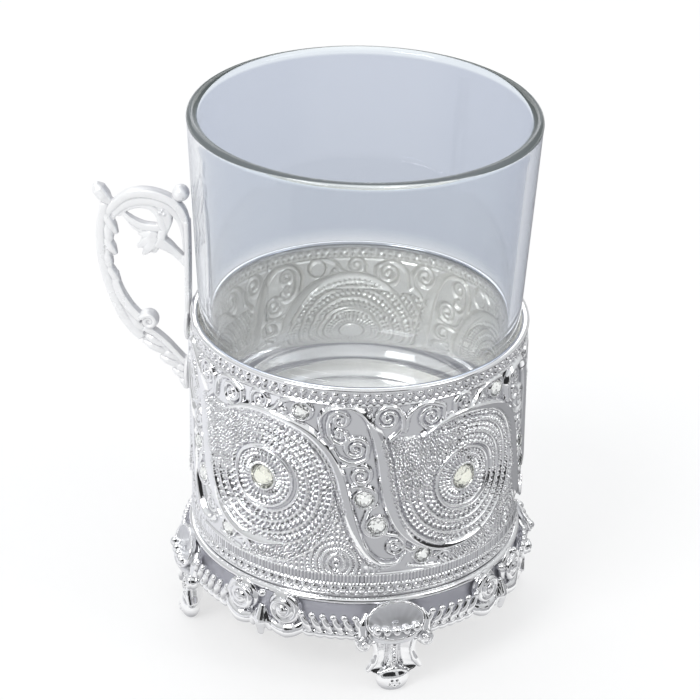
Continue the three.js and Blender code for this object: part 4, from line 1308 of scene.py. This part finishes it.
def shell_place(share, angle):
    """A place on the shell's tilted dish: across, up, out."""
    across = SHELL_HALF_WIDTH * share * np.cos(angle)
    along = SHELL_HALF_HEIGHT * share * np.sin(angle)
    fan = np.arctan2(across, along + SHELL_HALF_HEIGHT * 1.1)
    out = 1.5 - 0.36 * along - SHELL_HOLLOW * (1 - share**2) + 0.07 * share * np.cos(FLUTES * fan)
    return np.stack((across, SHELL_MIDDLE + 0.93 * along, out), axis=-1)


def two_skins(faces, start):
    """Faces of a front and of its rear, whose points start later and look the other way."""
    rear = [tuple(v + start for v in face) for face in faces]
    return [tuple(reversed(face)) for face in faces] + rear


def shell():
    """A fluted, hollow shell as a closed sheet."""
    shares = np.linspace(0.02, 1, 22)
    angles = np.linspace(0, 2 * math.pi, 120, endpoint=False)
    front = shell_place(*np.meshgrid(shares, angles, indexing="ij")).reshape(-1, 3)
    rear = front - (0, 0, SHELL_THICK)
    sides, start = len(angles), len(front)
    last = (len(shares) - 1) * sides
    faces = two_skins(grid_faces(len(shares), sides, wrap=True), start)
    for a in range(sides):
        b = (a + 1) % sides
        faces.append((last + a, last + b, last + b + start, last + a + start))
        faces.append((b, a, a + start, b + start))
    return np.concatenate((front, rear)), [tuple(reversed(f)) for f in faces]


# %% [markdown]
# The stem is a closed sheet too: two hollow leaves that flare towards the toe, with a grooved
# column between them. A column of grains, side scrolls, bright knobs along the shell's front and
# the toe are rods and pebbles, and the cast joins them all.

# %% Stem and knobs of a foot
STEM_TOP = 13.2
STEM_BOTTOM = 3.4
COLUMN_SHARE = 0.24
GROOVE_SHARE = 0.36
KNOBS = 5
KNOB_REACH = 4.3
RIM_POINTS = 61


def stem():
    """The stem between shell and toe, as a closed sheet."""
    levels = np.linspace(STEM_TOP, STEM_BOTTOM, 22)
    half = np.interp(levels, [3.4, 4.6, 5.4, 6.6, 8.5, 10.5, 13.2], [2.6, 4.6, 6.1, 5.0, 4.3, 4.2, 4.7])
    lean = np.interp(levels, [3.4, 6.0, 9.5, 13.2], [0.2, -0.2, -0.5, 0.2])
    across = np.linspace(-1, 1, 41)
    middle = np.where(np.abs(across) > COLUMN_SHARE, 1.8, 0.5)
    hollow = np.where(np.abs(across) > GROOVE_SHARE, 1.2 * (1 - across**2), middle)
    front, rear = [], []
    for level, width, out in zip(levels, half, lean):
        for s, depth in zip(across, hollow):
            front.append((s * width, level, out + 0.9 - depth))
            rear.append((s * width * 0.97, level, out - 0.6 - 2.2 * (1 - s**2)))
    rows, columns = len(levels), len(across)
    start = rows * columns
    faces = two_skins(grid_faces(rows, columns), start)
    edge = list(range(columns)) + [r * columns + columns - 1 for r in range(1, rows)]
    edge += [(rows - 1) * columns + c for c in range(columns - 2, -1, -1)]
    edge += [r * columns for r in range(rows - 2, 0, -1)]
    for a, b in zip(edge, edge[1:] + edge[:1]):
        faces.append((a, b, b + start, a + start))
    return np.array(front + rear), faces


def foot_parts():
    """Everything on a foot but the shell's dish."""
    parts = [stem()]
    around = np.radians(np.linspace(0, 360, RIM_POINTS))
    rim_line = shell_place(np.ones(RIM_POINTS), around) - (0, 0, 0.2)
    parts.append(rod(rim_line, [0.38, 0.38], across=(0.02, 0.03, 1)))
    for x in np.linspace(-KNOB_REACH, KNOB_REACH, KNOBS):
        droop = 1.5 + 0.7 * (1 - (x / KNOB_REACH) ** 2)
        share = math.hypot(x / SHELL_HALF_WIDTH, droop / SHELL_HALF_HEIGHT)
        knob = shell_place(share, math.atan2(-droop / SHELL_HALF_HEIGHT, x / SHELL_HALF_WIDTH))
        parts.append(pebble(knob + (0, 0, 0.5), (1.0, 1.25, 1.3), 18, 14))
    parts.append(pebble((0, 16.6, -1.6), (5.6, 4.0, 2.0), 32, 20))
    column = line3([(0, 13.0), (0, 9.0), (0, 4.4)], [0.2, -0.1, 0.4])
    parts.append(rod(column, [1.0, 0.9, 0.8], flat=0.8))
    for n in range(7):
        parts.append(pebble((0, 11.0 - 0.98 * n, 1.0 - 0.12 * abs(n - 3)), (0.5, 0.48, 0.55), 12, 8))
    for side in (-1, 1):
        edge = [(side * 5.9, 19.0), (side * 6.8, 16.6), (side * 6.9, 13.8)]
        parts.append(rod(line3(edge, [-1.0, -0.2, 0.1]), [0.6, 1.2, 1.1], sides=14))
        knob = (side * 6.85, 12.4)
        parts.append(pebble((*knob, 0.4), (1.9, 1.9, 1.5)))
        coil = spiral(knob, 1.5, 1.4, 90, -side, 0.35)
        parts.append(rod(np.column_stack((coil, np.linspace(1.3, 2.0, len(coil)))), [0.5, 0.42, 0.34]))
        rim = [(side * 4.6, 12.6), (side * 4.1, 9.6), (side * 4.6, 7.4), (side * 5.9, 5.3)]
        parts.append(rod(line3(rim, [0.7, 0.7, 0.9, 0.7]), [0.6, 0.6, 0.8, 0.6], sides=14))
    parts.append(pebble((0, 2.4, -0.2), (3.7, 3.2, 2.3), 32, 20))
    parts.append(rod(line3([(-3.2, 4.0), (0, 5.2), (3.2, 4.0)], [0.4, 1.0, 0.4]), [0.4, 0.55, 0.4]))
    for x, z in ((-1.1, 1.7), (0, 1.4), (1.1, 1.7), (-0.55, 2.5), (0.55, 2.5)):
        parts.append(pebble((x, z, 2.05), (0.34, 0.34, 0.34), 10, 6))
    return parts


# %% [markdown]
# The shell keeps a satin finish, so it is a piece of its own beside the bright casting, together
# with the smooth lip under it. The toe is cut flat where it stands on the table.

# %% Feet in place
def at_foot(points, i):
    """Foot points (across, up, out) at their place round the axis."""
    points = np.asarray(points)
    flat = np.column_stack((FOOT_RADIUS + points[:, 2], points[:, 0], points[:, 1]))
    return turned(flat, FOOT_DEGREES[i])


foot_points, foot_faces = cast(foot_parts(), voxel=0.17, passes=3)
foot_points[:, 1] = np.clip(foot_points[:, 1], 0, None)
smooth_lip = pebble((0, 14.1, 0.7), (5.4, 2.3, 2.3), 36, 24)
dish_points, dish_faces = joined([shell(), smooth_lip])
for i in range(FEET):
    casting = (at_foot(foot_points, i), foot_faces)
    dish = (at_foot(dish_points, i), dish_faces)
    add_piece(f"foot_casting_{i + 1}", casting, CASTING, [f"foot_{i + 1}"])
    add_piece(f"foot_shell_{i + 1}", dish, SATIN, sharp=60)

# %% [markdown]
# The handle is a scroll casting. It is drawn in its own plane, as distances out from the band
# and up from the sleeve's top: strands that run side by side, leaves, a knob, a ball and a
# scroll. A strand is a rod with flat faces and round corners, a leaf is a round-backed one.

# %% Strands and leaves of the handle
STRAND_SQUARE = 0.55
LEAF_SQUARE = 0.9


def strand(points, widths, flat=1.6, square=STRAND_SQUARE):
    """A rod in the handle's plane."""
    path = smooth_path(points, 8)
    return rod(np.column_stack((path, np.zeros(len(path)))), widths, flat=flat, sides=20, square=square)


def leaf(base, tip, width, flat=1.35):
    """A round-backed leaf from its base to its rounded tip."""
    base, tip = np.array(base, float), np.array(tip, float)
    widths = [0.6 * width, width, width, 0.5 * width]
    return strand([base, (base + tip) / 2, tip], widths, flat, LEAF_SQUARE)


HANDLE_STRANDS = [
    # Crest of three strands that sweep from the stem over to the bar
    ([(20.4, 15.2), (19.5, 18.2), (17.4, 21.0), (14.8, 22.9), (11.9, 23.6), (8.8, 23.4), (5.7, 22.3),
      (3.6, 20.4), (2.5, 17.8), (2.1, 15.0)],
     [0.6, 0.95, 1.05, 1.05, 1.0, 0.75], 1.35),
    ([(19.2, 15.4), (17.9, 18.2), (16.2, 20.0), (14.4, 21.1), (12.1, 21.7), (9.4, 21.7), (7.0, 20.9),
      (4.9, 19.6), (3.4, 17.4), (2.6, 14.4), (2.3, 10.4)],
     [0.5, 0.9, 1.0, 1.0, 0.85, 0.7], 1.2),
    ([(17.2, 17.6), (15.6, 19.2), (14.0, 20.1), (12.4, 20.5), (10.4, 20.4), (8.9, 19.5), (8.0, 18.0),
      (7.6, 16.6), (7.0, 15.0)],
     [0.4, 0.6, 0.65, 0.75, 0.85, 0.75], 1.5),
    ([(9.0, 21.0), (7.2, 19.6), (6.6, 17.6), (7.0, 15.6), (7.5, 14.0)], [0.9, 1.4, 1.3, 1.1, 0.9], 0.9),
    # Leaf ring under the oval opening, and the branch from the star leaf back to the bar
    ([(16.4, 18.6), (14.9, 17.2), (13.2, 16.2), (11.4, 15.6), (9.4, 15.5), (7.4, 15.6)],
     [0.5, 0.75, 0.85, 0.9, 0.9, 0.8], 1.25),
    ([(15.4, 17.0), (13.8, 15.3), (11.8, 14.6), (9.6, 14.5), (7.6, 14.4)],
     [0.3, 0.5, 0.55, 0.55, 0.5], 1.6),
    ([(8.4, 12.4), (6.6, 11.5), (4.9, 10.2), (3.4, 8.9), (2.2, 8.2)], [1.5, 1.3, 1.0, 0.95, 1.3], 1.1),
    ([(7.4, 15.0), (7.6, 13.4), (7.0, 11.8)], [0.9, 1.0, 0.8], 1.4),
    # Star leaf that hangs from the ring
    ([(8.8, 13.6), (10.9, 13.7), (12.9, 13.9)], [1.1, 1.3, 1.0, 0.4], 1.1),
    ([(8.8, 13.4), (10.9, 12.2), (13.0, 10.5)], [1.1, 1.4, 1.1, 0.4], 1.1),
    ([(8.8, 13.2), (10.3, 11.0), (11.8, 8.7)], [1.1, 1.4, 1.1, 0.4], 1.1),
    ([(8.6, 13.0), (9.1, 11.2), (9.5, 9.4)], [1.1, 1.3, 1.0, 0.5], 1.1),
    # Stem: an outer strand, a core, and an inner strand that ends in the scroll
    ([(20.3, 20.2), (21.0, 16.2), (21.2, 12.0), (20.8, 6.6), (19.1, 0.0), (16.7, -5.9), (14.6, -8.9),
      (12.2, -11.2)],
     [0.9, 1.0, 1.0, 1.0, 1.0, 1.05], 1.25),
    ([(19.8, 17.2), (19.9, 12.0), (19.5, 6.6), (18.2, 0.6), (16.0, -4.4), (14.0, -7.2)],
     [0.8, 0.8, 0.75, 0.75], 1.2),
    ([(15.2, -6.4), (13.6, -8.4), (11.8, -9.6)], [1.0, 1.3, 1.1], 0.9),
    ([(17.9, 4.0), (18.0, 1.8), (17.0, -1.0), (15.4, -3.6), (13.8, -5.4), (12.4, -6.8)],
     [0.6, 1.05, 1.1, 1.0, 1.0], 1.2),
    # Bar beside the glass and strap down to the band
    ([(2.1, 17.6), (1.95, 12.0), (1.9, 6.0), (1.9, 0.0), (1.9, -5.0), (1.9, -9.2)],
     [0.65, 0.65, 0.65, 0.65], 2.6),
    ([(11.6, -8.9), (9.2, -10.1), (6.7, -12.1), (4.1, -14.8), (1.7, -17.3)], [0.8, 0.75, 0.7, 0.7], 1.7),
    ([(12.2, -10.8), (9.2, -12.2), (6.2, -14.6), (3.7, -17.2), (2.0, -19.8)],
     [1.0, 1.6, 1.7, 1.7, 1.4], 0.5),
]
HANDLE_LEAVES = [
    # Overlapping leaves on the inner side of the stem
    ((20.4, 18.6), (17.7, 13.2), 1.1),
    ((19.6, 16.2), (19.2, 10.6), 1.1),
    ((20.4, 12.8), (17.9, 8.2), 1.05),
    ((19.9, 9.6), (19.2, 4.2), 1.05),
    ((20.0, 6.0), (17.2, 1.6), 1.0),
    # Feathers along the strap, two to a step
    ((6.6, -13.0), (11.6, -10.9), 0.95),
    ((6.6, -14.8), (12.0, -12.4), 1.0),
    ((3.6, -16.0), (7.8, -14.3), 0.95),
    ((3.4, -17.8), (8.2, -15.9), 1.0),
    ((1.9, -18.6), (5.0, -17.3), 0.95),
    ((1.8, -20.3), (5.4, -18.8), 1.0),
    ((1.8, -22.0), (3.9, -21.0), 0.9),
    ((1.6, -22.9), (3.2, -22.2), 0.8),
]
print("strands:", len(HANDLE_STRANDS), "leaves:", len(HANDLE_LEAVES))

# %% [markdown]
# A knob and a ball crown the handle, a scroll ends its stem, and three grains sit in the crest.
# Two oval pads on the band take the rivets. All is cast as one, cut back where it meets the
# band, and turned to its side of the holder.

# %% Handle
HANDLE_DEGREES = 180
HANDLE_GAP = 1.2
SCROLL_MIDDLE = (10.6, -7.1)
CREST_GRAINS = ((7.9, 19.4), (7.0, 19.2), (7.4, 20.1))


def handle_parts():
    """Strands, leaves, knob, ball, scroll and grains of the handle."""
    parts = [strand(points, widths, flat) for points, widths, flat in HANDLE_STRANDS]
    parts += [leaf(base, tip, width) for base, tip, width in HANDLE_LEAVES]
    knob = [(18.9, 20.4), (20.3, 22.0), (21.5, 23.5), (22.3, 24.5)]
    parts.append(strand(knob, [0.8, 1.6, 1.65, 0.8], flat=1.1, square=1.0))
    parts.append(pebble((3.5, 24.1, 0), (1.9, 1.9, 2.0), 28, 18))
    eye = spiral(SCROLL_MIDDLE, 1.75, 1.6, 20, 1, 0.4)
    parts.append(rod(np.column_stack((eye, np.zeros(len(eye)))), [0.85, 0.7, 0.6], flat=2.3, sides=12))
    parts.append(pebble((*SCROLL_MIDDLE, 0), (1.9, 1.9, 1.2)))
    for x, y in CREST_GRAINS:
        for side in (-1, 1):
            parts.append(pebble((x, y, side * 1.35), (0.3, 0.3, 0.3), 8, 6))
    return parts


def handle_pad(node):
    """An oval pad on the band where a rivet holds the handle."""
    low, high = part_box(node)
    height = (low.z + high.z) / 2 / MM - SLEEVE_TOP
    return pebble((1.9, height, 0), (0.9, 4.0, 3.1), 32, 16)


handle_all = handle_parts() + [handle_pad("handle_rivet_upper"), handle_pad("handle_rivet_lower")]
handle_points, handle_faces = cast(handle_all, voxel=0.16, passes=2)
reach, level, aside = handle_points.T
upright = np.column_stack((BAND_RADIUS + np.clip(reach, HANDLE_GAP, None), -aside, SLEEVE_TOP + level))
handle = (turned(upright, HANDLE_DEGREES), handle_faces)
add_piece("handle_casting", handle, HANDLE_SILVER, ["handle"])

# %% [markdown]
# The floor plate, the screws and the rivets are right as they are in CAD, so they stay and
# only get a finish. A node's material goes into its own slots.

# %% Finish of the plain nodes
PLAIN = {"floor_plate": LINING}
PLAIN.update({name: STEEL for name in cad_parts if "screw" in name or "rivet" in name})
for name, material in PLAIN.items():
    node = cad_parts[name]
    node.data.materials.clear()
    node.data.materials.append(material)
print("plain nodes:", len(PLAIN))

# %% [markdown]
# The object stands on a white table. The table is lit as a pale one, while the camera and all
# mirrored or bent rays see it near white, so that it keeps a faint shadow of the object.

# %% Table
FLOOR_COLOUR = 0.8
FLOOR_SEEN = 0.42
FLOOR_LIFT = 0.58
FLOOR_REACH = 4000


def stage_piece(name, points, faces, material):
    """An object of the studio, which doesn't belong to the part."""
    mesh = bpy.data.meshes.new(name)
    mesh.from_pydata([(np.array(p) * MM + np.array(AXIS)).tolist() for p in points], [], faces)
    mesh.materials.append(material)
    piece = bpy.data.objects.new(name, mesh)
    bpy.context.scene.collection.objects.link(piece)
    return piece


def floor_material():
    """A pale table that looks near white to camera, mirrored and bent rays."""
    material = bpy.data.materials.new("white_table")
    material.use_nodes = True
    nodes, links = material.node_tree.nodes, material.node_tree.links
    surface = nodes["Principled BSDF"]
    surface.inputs["Roughness"].default_value = 0.9
    surface.inputs["Specular IOR Level"].default_value = 0.0
    surface.inputs["Emission Color"].default_value = (1, 1, 1, 1)
    path = nodes.new("ShaderNodeLightPath")
    seen = path.outputs["Is Camera Ray"]
    for kind in ("Is Glossy Ray", "Is Transmission Ray"):
        either = nodes.new("ShaderNodeMath")
        either.operation = "MAXIMUM"
        links.new(seen, either.inputs[0])
        links.new(path.outputs[kind], either.inputs[1])
        seen = either.outputs["Value"]
    lift = nodes.new("ShaderNodeMath")
    lift.operation = "MULTIPLY"
    lift.inputs[1].default_value = FLOOR_LIFT
    colour = nodes.new("ShaderNodeMix")
    colour.data_type = "RGBA"
    colour.inputs["A"].default_value = (FLOOR_COLOUR, FLOOR_COLOUR, FLOOR_COLOUR, 1)
    colour.inputs["B"].default_value = (FLOOR_SEEN, FLOOR_SEEN, FLOOR_SEEN, 1)
    links.new(seen, lift.inputs[0])
    links.new(seen, colour.inputs["Factor"])
    links.new(lift.outputs["Value"], surface.inputs["Emission Strength"])
    links.new(colour.outputs["Result"], surface.inputs["Base Color"])
    return material


table_corners = [(-1, -1), (1, -1), (1, 1), (-1, 1)]
table_points = [(x * FLOOR_REACH, y * FLOOR_REACH, 0) for x, y in table_corners]
stage_piece("table", table_points, [(0, 1, 2, 3)], floor_material())
print(f"table: {2 * FLOOR_REACH} mm square")

# %% [markdown]
# Polished metal shows the room, so a white room needs some dark: dark walls at the front and on
# the right, and grey cards on the table round the object, paler on the left. All are hidden from
# the camera and only give the silver something to mirror.

# %% Reflecting cards
CAMERA_TURN = 8.0
WALL_DISTANCE = 560
CARD_INNER = 62
CARD_OUTER = 420
CARD_LEVEL = 0.4
CARD_BLUE = 1.03


def card_material(name, grey):
    """A dull grey with a touch of blue."""
    material = bpy.data.materials.new(name)
    material.use_nodes = True
    surface = material.node_tree.nodes["Principled BSDF"]
    surface.inputs["Base Color"].default_value = (grey, grey, grey * CARD_BLUE, 1)
    surface.inputs["Roughness"].default_value = 1.0
    surface.inputs["Specular IOR Level"].default_value = 0.0
    return material


def only_mirrored(piece):
    """Hides a card from everything but mirrored rays."""
    piece.visible_camera = False
    piece.visible_diffuse = False
    piece.visible_transmission = False
    piece.visible_shadow = False


def card_angles(from_degrees, to_degrees, steps):
    """Angles round the axis; degrees count from the camera's own direction to the right."""
    return np.radians(np.linspace(from_degrees, to_degrees, steps + 1) + CAMERA_TURN - 90)


def side_wall(name, from_degrees, to_degrees, low, high):
    """A dark curved wall round the camera's side."""
    angles = card_angles(from_degrees, to_degrees, 12)
    spots = [(WALL_DISTANCE * math.cos(a), WALL_DISTANCE * math.sin(a)) for a in angles]
    points = [(x, y, z) for z in (low, high) for x, y in spots]
    only_mirrored(stage_piece(name, points, grid_faces(2, len(angles)), CARD_DARK))


def table_card(name, from_degrees, to_degrees, grey):
    """A sector of a ring on the table."""
    angles = card_angles(from_degrees, to_degrees, 24)
    reaches = (CARD_INNER, CARD_OUTER)
    points = [(reach * math.cos(a), reach * math.sin(a), CARD_LEVEL) for reach in reaches for a in angles]
    only_mirrored(stage_piece(name, points, grid_faces(2, len(angles)), card_material(name, grey)))


CARD_DARK = card_material("dark_wall", 0.03)
side_wall("dark_wall_front", -32, 32, low=60, high=420)
side_wall("dark_wall_right", 46, 80, low=40, high=330)
table_card("front_card", -45, 65, grey=0.46)
table_card("right_card", 65, 180, grey=0.32)
table_card("left_card", -180, -45, grey=0.78)
print("cards: two dark walls and three greys on the table")

# %% [markdown]
# The light is soft: a pale sky, brighter overhead, and three large lamps. Polished metal shows
# the sky as its own mid grey and the lamps as its highlights, so the sky stays below white.

# %% Light
SKY_LOW = 0.5
SKY_HIGH = 0.8
SKY_RISE = 0.8
SKY_COLOUR = (0.97, 0.985, 1.0)
LAMP_AIM = Vector((0, 0, 0.06))


def sky():
    """A pale room that is brighter overhead than along the horizon."""
    world = bpy.data.worlds.new("white_room")
    bpy.context.scene.world = world
    world.use_nodes = True
    nodes, links = world.node_tree.nodes, world.node_tree.links
    backdrop = nodes["Background"]
    backdrop.inputs["Color"].default_value = (*SKY_COLOUR, 1)
    way = nodes.new("ShaderNodeTexCoord")
    split = nodes.new("ShaderNodeSeparateXYZ")
    level = nodes.new("ShaderNodeMapRange")
    level.inputs["From Min"].default_value = 0.0
    level.inputs["From Max"].default_value = SKY_RISE
    level.inputs["To Min"].default_value = SKY_LOW
    level.inputs["To Max"].default_value = SKY_HIGH
    links.new(way.outputs["Generated"], split.inputs["Vector"])
    links.new(split.outputs["Z"], level.inputs["Value"])
    links.new(level.outputs["Result"], backdrop.inputs["Strength"])


def softbox(name, place, size, power):
    """A rectangular lamp that faces the object."""
    lamp = bpy.data.lights.new(name, "AREA")
    lamp.shape = "RECTANGLE"
    lamp.size, lamp.size_y = size
    lamp.energy = power
    piece = bpy.data.objects.new(name, lamp)
    piece.location = AXIS + Vector(place)
    aim = AXIS + LAMP_AIM - piece.location
    piece.rotation_euler = aim.to_track_quat("-Z", "Y").to_euler()
    bpy.context.scene.collection.objects.link(piece)


sky()
softbox("key_lamp", (-0.42, -0.72, 0.85), (0.45, 0.45), 4.2)
softbox("fill_lamp", (0.7, -0.2, 0.6), (0.3, 0.6), 0.9)
softbox("back_lamp", (-0.2, 0.7, 0.6), (0.9, 0.35), 1.3)
print(f"sky: {SKY_LOW} along the horizon, {SKY_HIGH} overhead; lamps: 3")

# %% [markdown]
# The camera stands where the photographer stood: its height, distance, turn and roll were
# fitted to the rim, to the holder's edges and to the feet. The lens follows from the distance.

# %% Camera
CAMERA_DISTANCE = 628.1
CAMERA_RISE = 27.80
CAMERA_ROLL = 1.512
LOOK_SIDE = -1.905
LOOK_HEIGHT = 62.87
LENS = 148.18

rise, roll = math.radians(CAMERA_RISE), math.radians(CAMERA_ROLL)
right = Vector((1, 0, 0))
up = Vector((0, math.sin(rise), math.cos(rise)))
back_way = Vector((0, -math.cos(rise), math.sin(rise)))
tilted_right = right * math.cos(roll) + up * math.sin(roll)
tilted_up = up * math.cos(roll) - right * math.sin(roll)
stand = Vector((LOOK_SIDE, 0, LOOK_HEIGHT)) + back_way * CAMERA_DISTANCE
turn = Matrix.Rotation(math.radians(CAMERA_TURN), 4, "Z")
pose = Matrix.Identity(4)
for column, way in enumerate((tilted_right, tilted_up, back_way)):
    for row in range(3):
        pose[row][column] = way[row]
pose.translation = stand * MM
camera = bpy.data.objects.new("camera", bpy.data.cameras.new("camera"))
camera.data.lens = LENS
camera.data.sensor_width = 36
camera.data.clip_start = 0.01
camera.matrix_world = Matrix.Translation(AXIS) @ turn @ pose
bpy.context.scene.collection.objects.link(camera)
bpy.context.scene.camera = camera
bpy.context.scene.view_settings.view_transform = "Standard"
print(f"camera: {CAMERA_DISTANCE:.0f} mm away, lens {LENS:.0f} mm")
